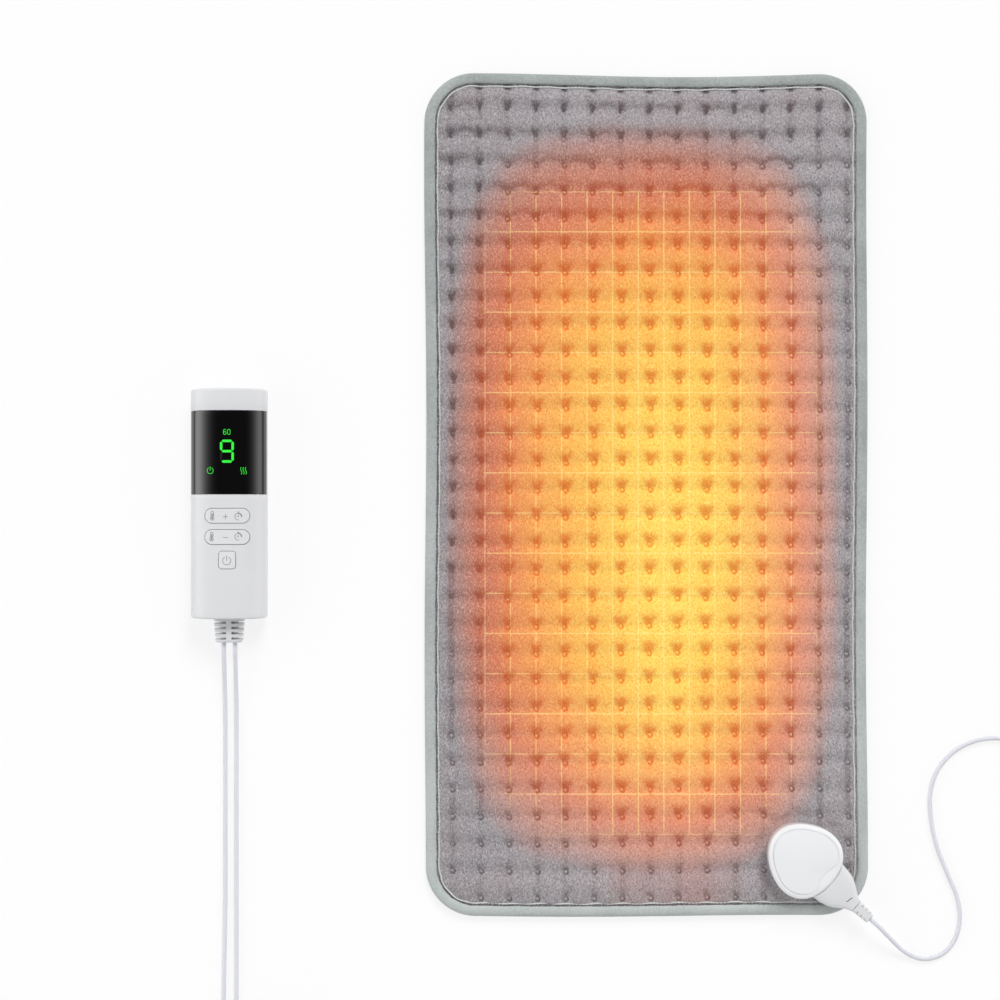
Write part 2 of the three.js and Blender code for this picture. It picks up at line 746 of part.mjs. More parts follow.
// Controller section: a full oval with the parting line at its widest
function sectionPoint(angle, inset) {
  const c = Math.cos(angle);
  const s = Math.sin(angle);
  const power = 2 / (s >= 0 ? frontFullness : backFullness);
  const depth = (s >= 0 ? frontDepth : backDepth) - inset;
  const x = (controllerWidth / 2 - inset) * Math.sign(c) * Math.abs(c) ** power;
  return new THREE.Vector2(x, parting + depth * Math.sign(s) * Math.abs(s) ** power);
}

function section(inset) {
  const points = Array.from({ length: 32 }, (_, k) => sectionPoint((k / 32) * 2 * Math.PI, inset));
  return new THREE.Shape(points);
}

// Height of the section's front at x
function frontHeight(x, inset) {
  const share = Math.min(Math.abs(x) / (controllerWidth / 2 - inset), 1);
  return parting + (frontDepth - inset) * (1 - share ** frontFullness) ** (1 / frontFullness);
}

const far = 2 * controllerLength;
const overParting = block(-far, far, -far, far, parting + fitGap / 2, far);
const underParting = block(-far, far, -far, far, 0, parting - fitGap / 2);
const body = prismAlongY(section(0), controllerEnd, -controllerEnd, controllerEndRound);
const innerEnd = -controllerEnd - controllerWall;
const hollow = prismAlongY(section(controllerWall), -innerEnd, innerEnd);
const shell = body.subtract(hollow);
const caseScrewPlaces = sides.flatMap((sx) =>
  sides.map((sy) => [(sx * caseScrewAcross) / 2, sy * (controllerLength / 2 - caseScrewFromEnd)]),
);
const neckOpening = block(
  -bootNeckWidth / 2 - fitGap,
  bootNeckWidth / 2 + fitGap,
  controllerEnd - 1,
  -innerEnd + 1,
  bootAxis - bootNeckHeight / 2 - fitGap,
  bootAxis + bootNeckHeight / 2 + fitGap,
);

// Front shell: seat for the window, opening for the display, openings for the keys, screw posts
const windowTop = controllerLength / 2 - windowFromTop;
const windowBottom = windowTop - windowLength;
const seatDepth = windowThickness + fitGap;
const windowRoom = block(-far, far, -far, far, parting + windowSill, far);
const windowSeat = prismAlongY(section(-1), windowBottom, windowTop)
  .subtract(prismAlongY(section(seatDepth), windowBottom - 1, windowTop + 1))
  .intersect(windowRoom);
const displayTop = windowTop - displayLip;
const displayBottom = windowBottom + displayLip;
const displayOpening = block(
  -displayWidth / 2 - fitGap,
  displayWidth / 2 + fitGap,
  displayBottom - fitGap,
  displayTop + fitGap,
  parting,
  far,
);
const plusY = controllerLength / 2 - plusFromTop;
const minusY = controllerLength / 2 - minusFromTop;
const powerY = controllerLength / 2 - powerFromTop;
const rockerOpening = prism(stadium(rockerWidth + 2 * keyGap, rockerHeight + 2 * keyGap), parting, far);
const powerOpening = prism(
  roundedRectangle(powerWidth + 2 * keyGap, powerHeight + 2 * keyGap, powerCornerRadius + keyGap),
  parting,
  far,
);
let front = shell.intersect(overParting);
const postCore = prismAlongY(section(seatDepth + fitGap), controllerEnd, -controllerEnd);
caseScrewPlaces.forEach(([x, y]) => {
  front = front.add(rod(casePostRadius, x, y, parting + fitGap / 2, far).intersect(postCore));
});
caseScrewPlaces.forEach(([x, y]) => {
  const holeTop = parting + caseScrewReach + fitGap;
  front = front.subtract(rod(caseScrewRadius + fitGap, x, y, parting - 1, holeTop));
});
front = front.subtract(windowSeat).subtract(displayOpening).subtract(neckOpening);
front = front.subtract(rockerOpening.translate([0, plusY, 0]));
front = front.subtract(rockerOpening.translate([0, minusY, 0]));
front = front.subtract(powerOpening.translate([0, powerY, 0]));
solidPiece("front_shell", front, whitePlastic, controllerGroup);

// Window wrapping the front from side to side
const windowSkin = prismAlongY(section(0), windowBottom + fitGap, windowTop - fitGap)
  .subtract(prismAlongY(section(windowThickness), windowBottom, windowTop))
  .intersect(windowRoom.translate([0, 0, fitGap]));
solidPiece("display_window", windowSkin, blackGloss, controllerGroup);

// Rear shell: screw posts and posts under the board
const boardTop = parting + boardOverParting;
const boardBottom = boardTop - boardThickness;
const boardHalfLength = innerEnd - boardEndGap;
let rear = shell.intersect(underParting);
const backRoom = prismAlongY(section(0.5 * controllerWall), controllerEnd, -controllerEnd);
caseScrewPlaces.forEach(([x, y]) => {
  rear = rear.add(rod(casePostRadius, x, y, 0, parting - fitGap / 2).intersect(backRoom));
});
sides.forEach((sx) =>
  sides.forEach((sy) => {
    const x = sx * (boardWidth / 2 - boardPostRadius);
    const y = sy * (boardHalfLength - boardPostRadius);
    rear = rear.add(rod(boardPostRadius, x, y, 0, boardBottom - fitGap, 8).intersect(backRoom));
  }),
);
caseScrewPlaces.forEach(([x, y]) => {
  rear = rear.subtract(rod(caseScrewHeadRadius + fitGap, x, y, -1, caseScrewSeat + fitGap));
  rear = rear.subtract(rod(caseScrewRadius + fitGap, x, y, -1, far));
});
solidPiece("rear_shell", rear.subtract(neckOpening), whitePlastic, controllerGroup);
caseScrewPlaces.forEach(([x, y], i) => {
  const head = rod(caseScrewHeadRadius, x, y, caseScrewSeat - caseScrewHeadHeight, caseScrewSeat);
  const shank = rod(caseScrewRadius, x, y, caseScrewSeat - 0.5, parting + caseScrewReach, 8);
  solidPiece(`case_screw_${i + 1}`, head.add(shank), steel, controllerGroup);
});

// Circuit board with the display and the switches on top
solidPiece(
  "circuit_board",
  block(-boardWidth / 2, boardWidth / 2, -boardHalfLength, boardHalfLength, boardBottom, boardTop),
  boardGreen,
  controllerGroup,
);
const onBoard = boardTop + fitGap;
solidPiece(
  "display_module",
  block(
    -displayWidth / 2,
    displayWidth / 2,
    displayBottom,
    displayTop,
    onBoard,
    frontHeight(displayWidth / 2, windowThickness) - fitGap,
  ),
  darkPlastic,
  controllerGroup,
);
const switchTop = onBoard + switchBody + switchPlunger;
const switchPlaces = [
  ["plus_left", -switchSpread / 2, plusY],
  ["plus_right", switchSpread / 2, plusY],
  ["minus_left", -switchSpread / 2, minusY],
  ["minus_right", switchSpread / 2, minusY],
  ["power", 0, powerY],
];
switchPlaces.forEach(([name, x, y]) => {
  const half = switchSide / 2;
  const can = block(x - half, x + half, y - half, y + half, onBoard, onBoard + switchBody);
  const plunger = rod(switchPlungerRadius, x, y, onBoard + switchBody - 0.5, switchTop, 8);
  solidPiece(`switch_${name}`, can.add(plunger), darkPlastic, controllerGroup);
});

// Power components under the board: the terminal block by the boot, the others above it
const underBoard = boardBottom - fitGap;
const blockBottom = -boardHalfLength + 2 * boardPostRadius + partSpacing;
const partsBottom = blockBottom + terminalBlockLength + partSpacing;
solidPiece(
  "terminal_block",
  block(
    -terminalBlockWidth / 2,
    terminalBlockWidth / 2,
    blockBottom,
    blockBottom + terminalBlockLength,
    underBoard - terminalBlockHeight,
    underBoard,
  ),
  finish(0x3a7a52, 0.5),
  controllerGroup,
);
solidPiece(
  "film_capacitor",
  block(
    -partSpacing / 2 - capacitorWidth,
    -partSpacing / 2,
    partsBottom,
    partsBottom + capacitorLength,
    underBoard - capacitorHeight,
    underBoard,
  ),
  finish(0xc8a030, 0.5),
  controllerGroup,
);
solidPiece(
  "triac",
  block(
    partSpacing / 2,
    partSpacing / 2 + triacWidth,
    partsBottom,
    partsBottom + triacLength,
    underBoard - triacHeight,
    underBoard,
  ),
  darkPlastic,
  controllerGroup,
);
const fuseX = boardWidth / 2 - fuseRadius - partSpacing / 2;
solidPiece(
  "fuse",
  rodAlongY(fuseRadius, partsBottom, partsBottom + fuseLength, fuseX, underBoard - fuseRadius),
  glass,
  controllerGroup,
);

// Keys: tops follow the front, the rockers tip on a bar under the wall, the power key slides
const keySkin = prismAlongY(section(-keyProud), controllerEnd, -controllerEnd);
const rockerArm = switchSpread / 2 + switchPlungerRadius;
const tiltDrop = rockerArm * Math.tan(THREE.MathUtils.degToRad(rockerTilt));
const rockerBottom = switchTop + fitGap + tiltDrop;
const powerBottom = switchTop + fitGap + keyTravel;
const barTop = frontHeight(trunnionWidth / 2, controllerWall) - fitGap;
const rocker = prism(stadium(rockerWidth, rockerHeight), rockerBottom, far)
  .intersect(keySkin)
  .add(
    block(
      -trunnionWidth / 2,
      trunnionWidth / 2,
      -rockerHeight / 2 - keyGap - keyLip,
      rockerHeight / 2 + keyGap + keyLip,
      barTop - keyLipThickness,
      barTop,
    ),
  );
solidPiece("plus_rocker", rocker.translate([0, plusY, 0]), whitePlastic, controllerGroup);
solidPiece("minus_rocker", rocker.translate([0, minusY, 0]), whitePlastic, controllerGroup);
const lipReach = keyGap + keyLip;
const lipTop = frontHeight(powerWidth / 2 + lipReach, controllerWall) - fitGap;
const powerKey = prism(roundedRectangle(powerWidth, powerHeight, powerCornerRadius), powerBottom, far)
  .intersect(keySkin)
  .add(
    block(
      -powerWidth / 2 - lipReach,
      powerWidth / 2 + lipReach,
      -powerHeight / 2 - lipReach,
      powerHeight / 2 + lipReach,
      lipTop - keyLipThickness,
      lipTop,
    ),
  );
solidPiece("power_key", powerKey.translate([0, powerY, 0]), whitePlastic, controllerGroup);

// Twin boot: a neck through the end wall, a flange inside, slots down both sides, a core round each lead
function twinRing(y, width, height) {
  return bootRing(0, width / 2, height / 2).map((p) => new THREE.Vector3(-p.y, y, bootAxis + p.z));
}

const bootStart = controllerEnd - fitGap;
const bootEnd = bootStart - bootLength;
let boot = solid(
  loft([
    twinRing(bootStart, bootWidth, bootHeight),
    twinRing(bootEnd + 1.5, bootTipWidth, bootTipHeight),
    twinRing(bootEnd, bootTipWidth - 2, bootTipHeight - 2),
  ].reverse()),
);
const firstSlot = bootStart - (bootLength - (bootSlots - 1) * bootSlotPitch) / 2;
for (let i = 0; i < bootSlots; i += 1) {
  const y = firstSlot - i * bootSlotPitch;
  const slot = block(
    bootSpine / 2,
    bootWidth,
    y - bootSlotHeight / 2,
    y + bootSlotHeight / 2,
    0,
    3 * bootAxis,
  );
  boot = boot.subtract(slot).subtract(slot.mirror([1, 0, 0]));
}
sides.forEach((side) => {
  const x = (side * leadSpacing) / 2;
  boot = boot.add(rodAlongY(bootCoreRadius, bootEnd + 1, bootStart - 1, x, bootAxis));
});
const neckHalf = bootNeckWidth / 2;
const neckUp = bootNeckHeight / 2;
const flangeStart = -innerEnd + fitGap;
boot = boot.add(
  block(-neckHalf, neckHalf, bootStart - 1, flangeStart + 1, bootAxis - neckUp, bootAxis + neckUp),
);
boot = boot.add(
  block(
    -neckHalf - bootFlange,
    neckHalf + bootFlange,
    flangeStart,
    flangeStart + bootFlange,
    bootAxis - neckUp - bootFlange,
    bootAxis + neckUp + bootFlange,
  ),
);
solidPiece("twin_boot", boot, whitePlastic, controllerGroup);

// Leads: round cord along hand-laid routes, resting on the floor between their ends
function cord(points, steps) {
  const round = new THREE.Shape();
  round.absarc(0, 0, leadRadius, 0, 2 * Math.PI, false);
  const path = new THREE.CatmullRomCurve3(points, false, "centripetal");
  const geometry = new THREE.ExtrudeGeometry(round, { steps, extrudePath: path, curveSegments: 4 });
  console.log(`cord length ${path.getLength().toFixed(1)} mm`);
  return solid(geometry);
}

const floor = leadRadius + 0.1;
function onFloor(pairs) {
  return pairs.map(([x, y]) => new THREE.Vector3(x, y, floor));
}

const pull = new THREE.Vector3(1, 0, 0).applyMatrix4(socketTurn);
const plugExit = new THREE.Vector3(socketX, socketY, plugLevel);
plugExit.addScaledVector(pull, plugBootEnd + fitGap);
const exitY = controllerAlong + bootEnd - fitGap;
const padLeadX = controllerX - leadSpacing / 2;
const mainsLeadX = controllerX + leadSpacing / 2;

function outOfBoot(x) {
  return [
    [0, bootAxis],
    [7, bootAxis - 0.3],
    [22, bootAxis - 4.2],
    [38, floor + 1.6],
    [52, floor],
  ].map(([away, z]) => new THREE.Vector3(x, exitY - away, z));
}

const padLeadPoints = [
  plugExit,
  plugExit.clone().addScaledVector(pull, 8).setZ(plugLevel - 0.4),
  new THREE.Vector3(172.2, -314.2, 9.2),
  new THREE.Vector3(181, -323, 5.2),
  new THREE.Vector3(189.4, -328.6, 2.5),
  ...onFloor([
    [197.6, -330.8],
    [206, -329.6],
    [214.5, -324.6],
    [221, -314.5],
    [223.6, -302],
    [221.6, -287],
    [215, -270.5],
    [207.6, -252],
    [203, -231],
    [202.8, -211],
    [208.2, -195.4],
    [219.4, -183],
    [231.7, -176.4],
    [243, -173.8],
    [258, -174.6],
    [273, -181.5],
    [282.5, -196],
    [285, -216],
    [285, -310],
    [285, -404],
    [280, -427],
    [264, -443],
    [242, -448],
    [100, -448],
    [-110, -448],
    [padLeadX + 46, -448],
    [padLeadX + 22, -443],
    [padLeadX + 5, -427],
    [padLeadX, -404],
    [padLeadX, -280],
  ]),
  ...outOfBoot(padLeadX).reverse(),
];
solidPiece("pad_lead", cord(padLeadPoints, 72), whiteCord);

// Coil of the mains lead: it spirals in and out again through its layers, climbing where it turns back
const turnsPerLayer = coilTurns / coilLayers;
const coilOuterRadius = coilInnerRadius + coilPitch * turnsPerLayer;
const coilX = mainsLeadX + coilOuterRadius;
const coilFloor = tieThickness + fitGap + leadRadius;

function coilPoint(turn) {
  const layer = Math.min(Math.floor(turn / turnsPerLayer), coilLayers - 1);
  const within = turn - layer * turnsPerLayer;
  const inward = layer % 2 === 0;
  const radius = inward ? coilOuterRadius - coilPitch * within : coilInnerRadius + coilPitch * within;
  let climb = 0;
  for (let k = 1; k < coilLayers; k += 1) {
    climb += THREE.MathUtils.smoothstep(turn, k * turnsPerLayer - 0.25, k * turnsPerLayer + 0.25);
  }
  const angle = Math.PI + 2 * Math.PI * turn;
  return new THREE.Vector3(
    coilX + radius * Math.cos(angle),
    coilCentreY + radius * Math.sin(angle),
    coilFloor + climb * coilPitch,
  );
}

const coilSteps = Math.round(coilTurns * 24);
const coilPath = Array.from({ length: coilSteps + 1 }, (_, i) => coilPoint((i / coilSteps) * coilTurns));
const coilLast = coilPath[coilSteps];
const coilStart = coilPath[0].clone().add(new THREE.Vector3(0, leadDiameter, 0));
const coilEnd = coilLast.clone().add(new THREE.Vector3(leadDiameter, 0, 0));
const coilLine = [coilStart, ...coilPath, coilEnd];
let coilLeast = Infinity;
let coilLength = 0;
coilLine.forEach((a, i) => {
  if (i > 0) coilLength += a.distanceTo(coilLine[i - 1]);
  coilLine.slice(i + 12).forEach((b) => {
    coilLeast = Math.min(coilLeast, a.distanceTo(b) - leadDiameter);
  });
});
console.log(`coil length ${coilLength.toFixed(1)} mm, least gap to itself ${coilLeast.toFixed(2)} mm`);
piece("mains_lead_coil", tube(coilLine, leadRadius, 6), whiteCord);

const mainsLeadPoints = [
  ...outOfBoot(mainsLeadX),
  ...onFloor([
    [mainsLeadX, -220],
    [mainsLeadX, -290],
    [mainsLeadX, -345],
  ]),
  new THREE.Vector3(mainsLeadX, coilStart.y + 12, coilFloor),
  new THREE.Vector3(mainsLeadX, coilStart.y + fitGap, coilFloor),
];
solidPiece("mains_lead", cord(mainsLeadPoints, 24), whiteCord);

// Tie round the coil's bundle
const tieInner = coilInnerRadius - leadRadius - 3 * fitGap;
const tieOuter = coilOuterRadius + leadRadius + 3 * fitGap;
const tieTop = coilFloor + (coilLayers - 1) * coilPitch + leadRadius + fitGap;
const tieFrame = block(
  tieInner - tieThickness,
  tieOuter + tieThickness,
  -tieWidth / 2,
  tieWidth / 2,
  0,
  tieTop + tieThickness,
);
const tieOpening = block(tieInner, tieOuter, -tieWidth, tieWidth, tieThickness, tieTop);
const tie = tieFrame.subtract(tieOpening).rotate([0, 0, tieAngle]).translate([coilX, coilCentreY, 0]);
solidPiece("coil_tie", tie, darkPlastic);

// Tail from the coil's top to the mains plug beside it
const mainsAxis = mainsPlugHeight / 2;
const bootTip = coilEnd.x + 2 * fitGap + tailLength;
const tailPoints = [
  [fitGap, coilEnd.z],
  [6, coilEnd.z - 0.1],
  [0.45 * tailLength, (coilEnd.z + mainsAxis) / 2 + 0.6],
  [tailLength - 8, mainsAxis + 0.1],
  [tailLength + fitGap, mainsAxis],
].map(([along, z]) => new THREE.Vector3(coilEnd.x + along, coilEnd.y, z));
solidPiece("mains_lead_tail", cord(tailPoints, 8), whiteCord);

// Mains plug lying on its side: ribbed boot, body, two blades
const bootProfile = [new THREE.Vector2(0, 0), new THREE.Vector2(mainsBootTipRadius, 0)];
const ribPitch = mainsBootLength / (mainsBootRibs + 0.5);
for (let i = 0; i < mainsBootRibs; i += 1) {
  const share = (i + 1) / (mainsBootRibs + 1);
  const radius = mainsBootTipRadius + (mainsBootRadius - mainsBootTipRadius) * share;
  bootProfile.push(new THREE.Vector2(radius, (i + 0.6) * ribPitch));
  bootProfile.push(new THREE.Vector2(radius - 0.7, (i + 0.7) * ribPitch));
  bootProfile.push(new THREE.Vector2(radius - 0.7, (i + 1) * ribPitch));
}
bootProfile.push(new THREE.Vector2(mainsBootRadius, mainsBootLength));
bootProfile.push(new THREE.Vector2(0, mainsBootLength));
const mainsBoot = new THREE.LatheGeometry(bootProfile, 14);
mainsBoot.rotateZ(-Math.PI / 2).translate(bootTip, coilEnd.y, mainsAxis);
solidPiece("mains_plug_boot", solid(mainsBoot), whiteCord);

const plugBack = bootTip + mainsBootLength + fitGap;
const plugNose = plugBack + mainsPlugLength;
const shoulder = plugBack + (mainsPlugWidth - mainsPlugNeckWidth) / 2;
const plugOutline = new THREE.Shape();
plugOutline.moveTo(plugBack, -mainsPlugNeckWidth / 2);
plugOutline.lineTo(shoulder, -mainsPlugWidth / 2);
plugOutline.lineTo(plugNose, -mainsPlugWidth / 2);
plugOutline.lineTo(plugNose, mainsPlugWidth / 2);
plugOutline.lineTo(shoulder, mainsPlugWidth / 2);
plugOutline.lineTo(plugBack, mainsPlugNeckWidth / 2);
let mainsBody = softPrism(plugOutline, 0, mainsPlugHeight, mainsPlugRound);
sides.forEach((side, i) => {
  const y = (side * bladeSpacing) / 2;
  const half = bladeThickness / 2;
  const up = bladeWidth / 2;
  const from = plugNose - bladeSeat;
  const blade = block(from, plugNose + bladeReach, y - half, y + half, mainsAxis - up, mainsAxis + up);
  const slot = block(
    from - fitGap,
    plugNose + 1,
    y - half - fitGap,
    y + half + fitGap,
    mainsAxis - up - fitGap,
    mainsAxis + up + fitGap,
  );
  mainsBody = mainsBody.subtract(slot);
  solidPiece(`mains_blade_${i + 1}`, blade.translate([0, coilEnd.y, 0]), brass);
});
solidPiece("mains_plug_body", mainsBody.translate([0, coilEnd.y, 0]), whiteCord);

export default part;
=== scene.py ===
# %% [markdown]
# # A quilted heating pad with its controller
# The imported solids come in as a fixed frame, and this script dresses them: fabric, seams,
# mouldings, display and leads. Every size below is in millimetres and is turned into metres by
# `mm`, so the numbers can be read off the solids' own drawing. The origin is the centre of the
# pad's underside, and +Z is up.

# %% Frame
import math

import bmesh
import bpy
import numpy as np
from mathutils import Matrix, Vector
from mathutils.kdtree import KDTree


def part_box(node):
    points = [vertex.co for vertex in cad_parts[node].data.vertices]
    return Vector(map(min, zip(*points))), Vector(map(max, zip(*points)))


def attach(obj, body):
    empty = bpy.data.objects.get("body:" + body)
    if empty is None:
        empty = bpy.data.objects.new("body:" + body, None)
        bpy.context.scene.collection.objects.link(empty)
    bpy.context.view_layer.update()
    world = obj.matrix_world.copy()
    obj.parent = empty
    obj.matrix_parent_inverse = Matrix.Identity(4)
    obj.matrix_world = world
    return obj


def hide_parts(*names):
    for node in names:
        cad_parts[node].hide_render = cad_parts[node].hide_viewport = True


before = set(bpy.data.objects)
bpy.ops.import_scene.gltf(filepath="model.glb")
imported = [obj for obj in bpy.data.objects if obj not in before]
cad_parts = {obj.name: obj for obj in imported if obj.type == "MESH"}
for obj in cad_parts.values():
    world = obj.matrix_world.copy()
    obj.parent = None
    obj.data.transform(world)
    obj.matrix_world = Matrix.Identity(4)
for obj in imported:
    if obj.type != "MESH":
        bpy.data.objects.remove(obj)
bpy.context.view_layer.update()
scene = bpy.context.scene
scene.view_settings.view_transform = "Standard"
mm = 0.001
print("solids in the frame:", len(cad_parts))

# %% [markdown]
# ## Camera
# The picture looks straight down on the pad with the pad's top edge up, and it is 710 mm wide at
# the quilt. A long lens high above gives that with little perspective. A camera with no turn
# already looks down -Z with +Y up.

# %% Camera
picture_width, quilt_level = 710, 7.5
view_x, view_y = -104, -3.9
lens, film = 85, 36
camera = bpy.data.objects.new("overhead_camera", bpy.data.cameras.new("overhead_camera"))
camera.data.lens = lens
camera.data.sensor_width = film
camera.location = Vector((view_x, view_y, quilt_level + picture_width * lens / film)) * mm
scene.collection.objects.link(camera)
scene.camera = camera
print("camera height", round(camera.location.z, 3), "m")

# %% [markdown]
# ## Leads
# A lead is a round sheath on a smooth line, so a bevelled curve is the natural way to make one: the
# line can be edited later and the section stays round. The points are listed, and a centripetal
# spline runs through them, because that kind never overshoots between points that are unevenly
# spaced.

# %% Smooth route
lead_radius = 1.65


def smooth_route(points, step=2.5):
    """Points every few millimetres on a centripetal spline through the given ones."""
    p = np.array(points, float)
    p = np.vstack([2 * p[0] - p[1], p, 2 * p[-1] - p[-2]])
    line = []
    for a, b, c, d in zip(p, p[1:], p[2:], p[3:]):
        ta, tb, tc = (math.sqrt(np.linalg.norm(q - r)) for q, r in ((b, a), (c, b), (d, c)))
        leave = tb * ((b - a) / ta - (c - a) / (ta + tb) + (c - b) / tb)
        arrive = tb * ((c - b) / tb - (d - b) / (tb + tc) + (d - c) / tc)
        count = max(2, round(np.linalg.norm(c - b) / step))
        t = (np.arange(count) / count)[:, None]
        line.append(
            (2 * t**3 - 3 * t**2 + 1) * b + (t**3 - 2 * t**2 + t) * leave
            + (3 * t**2 - 2 * t**3) * c + (t**3 - t**2) * arrive
        )
    return np.vstack([*line, p[-2:-1]])


def run_of(line):
    """How far along a line each of its points lies."""
    return np.concatenate([[0], np.cumsum(np.linalg.norm(np.diff(line, axis=0), axis=1))])


def length_of(line):
    return float(run_of(line)[-1])


def lead(name, line):
    """A round lead along a line."""
    curve = bpy.data.curves.new(name, "CURVE")
    curve.dimensions = "3D"
    curve.bevel_depth = 1
    curve.bevel_resolution = 5
    curve.use_fill_caps = True
    spline = curve.splines.new("POLY")
    spline.points.add(len(line) - 1)
    for point, place in zip(spline.points, line * mm):
        point.co = (*place, 1)
        point.radius = lead_radius * mm
    made = bpy.data.objects.new(name, curve)
    scene.collection.objects.link(made)
    print(name, round(length_of(line)), "mm")
    return made

# %% [markdown]
# The pad lead comes straight out of the connector's boot, drops to the floor, swings in the S that
# the picture shows and goes round outside the picture to the controller. The two leads leave the
# controller side by side.

# %% Pad lead
socket_x, socket_y = 111.1, -258.1
plug_turn = math.radians(-42)
plug_level, plug_boot_end, plug_gap = 12.8, 62.88, 0.3
controller_x, controller_y = -295.7, -6.4
boot_axis, boot_end, lead_apart = 11, 98.5, 4
lead_exit_y = controller_y - boot_end
pad_lead_x, mains_lead_x = controller_x - lead_apart, controller_x + lead_apart
on_floor = lead_radius + 0.1

away = np.array([math.cos(plug_turn), math.sin(plug_turn), 0])
plug_exit = np.array([socket_x, socket_y, plug_level]) + away * (plug_boot_end + plug_gap)
swing = [
    (197.6, -330.8), (206, -329.6), (214.5, -324.6), (221, -314.5), (223.6, -302), (221.6, -287),
    (215, -270.5), (207.6, -252), (203, -231), (202.8, -211), (208.2, -195.4), (219.4, -183),
    (231.7, -176.4), (243, -173.8), (258, -174.6), (273, -181.5), (282.5, -196), (285, -216),
    (285, -310), (285, -404), (280, -427), (264, -443), (242, -448), (100, -448), (-110, -448),
    (pad_lead_x + 46, -448), (pad_lead_x + 22, -443), (pad_lead_x + 5, -427), (pad_lead_x, -404),
    (pad_lead_x, -280),
]


def out_of_boot(x):
    """Points of a lead that leaves the controller's boot and comes down to the floor."""
    falls = [(0, boot_axis), (7, boot_axis - 0.3), (22, boot_axis - 4.2), (38, on_floor + 1.6),
             (52, on_floor)]
    return [(x, lead_exit_y - gone, z) for gone, z in falls]


pad_route = smooth_route([
    plug_exit,
    plug_exit + 8 * away - (0, 0, 0.4),
    (172.2, -314.2, 9.2),
    (181, -323, 5.2),
    (189.4, -328.6, 2.5),
    *((x, y, on_floor) for x, y in swing),
    *reversed(out_of_boot(pad_lead_x)),
])
pad_cord = lead("pad_cord", pad_route)
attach(pad_cord, "handset")
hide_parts("pad_lead")

# %% [markdown]
# The mains lead runs down out of the picture and is wound into a coil just below it. A coil is
# counted in turns: each layer spirals in or out by one pitch a turn, and the lead climbs to the
# next layer where it turns back.

# %% Mains lead
coil_turns, coil_layers, coil_pitch, coil_inner = 10.25, 4, 3.9, 14
points_a_turn, half_climb = 48, 0.25
tie_thick, tie_gap = 0.8, 0.3
layer_turns = coil_turns / coil_layers
coil_outer = coil_inner + coil_pitch * layer_turns
coil_x, coil_y = mains_lead_x + coil_outer, -400
coil_floor = tie_thick + tie_gap + lead_radius


def smoothstep(value, low, high):
    """0 at low, 1 at high, and a smooth change between."""
    t = np.clip((value - low) / (high - low), 0, 1)
    return t * t * (3 - 2 * t)


def points_of(x, y, z):
    """Rows of x, y and z, where a single number serves every row."""
    return np.stack(np.broadcast_arrays(x, y, z), -1).astype(float)


turn = np.linspace(0, coil_turns, round(coil_turns * points_a_turn) + 1)
layer = np.minimum(np.floor(turn / layer_turns), coil_layers - 1)
within = coil_pitch * (turn - layer * layer_turns)
radius = np.where(layer % 2 == 0, coil_outer - within, coil_inner + within)
climb = sum(smoothstep(turn, k * layer_turns - half_climb, k * layer_turns + half_climb)
            for k in range(1, coil_layers))
angle = math.pi + 2 * math.pi * turn
coil = points_of(coil_x + radius * np.cos(angle), coil_y + radius * np.sin(angle),
                 coil_floor + coil_pitch * climb)
stretch = smooth_route([
    *out_of_boot(mains_lead_x),
    *((mains_lead_x, y, on_floor) for y in (-220, -290, -345)),
    (mains_lead_x, coil_y + 15.3, coil_floor),
    (mains_lead_x, coil_y + 3.6, coil_floor),
])
plug_axis = 8.5
tail_x, tail_y = coil[-1, 0] + 2 * lead_radius, coil[-1, 1]
tail = smooth_route([(tail_x + x, tail_y, z) for x, z in
                     [(0.3, 14.45), (6, 14.35), (20.7, 12.08), (38, 8.6), (46.3, plug_axis)]])
mains_route = np.vstack([stretch, coil, tail])
mains_cord = lead("mains_cord", mains_route)
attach(mains_cord, "handset")
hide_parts("mains_lead", "mains_lead_coil", "mains_lead_tail")

# %% [markdown]
# ## Shader maths
# A finish is a small graph of nodes. Wrapping a socket in a class with Python's operators lets the
# maths of a pattern be read as a formula, where each operator adds one Math node. Every other kind
# of node comes from `node`.

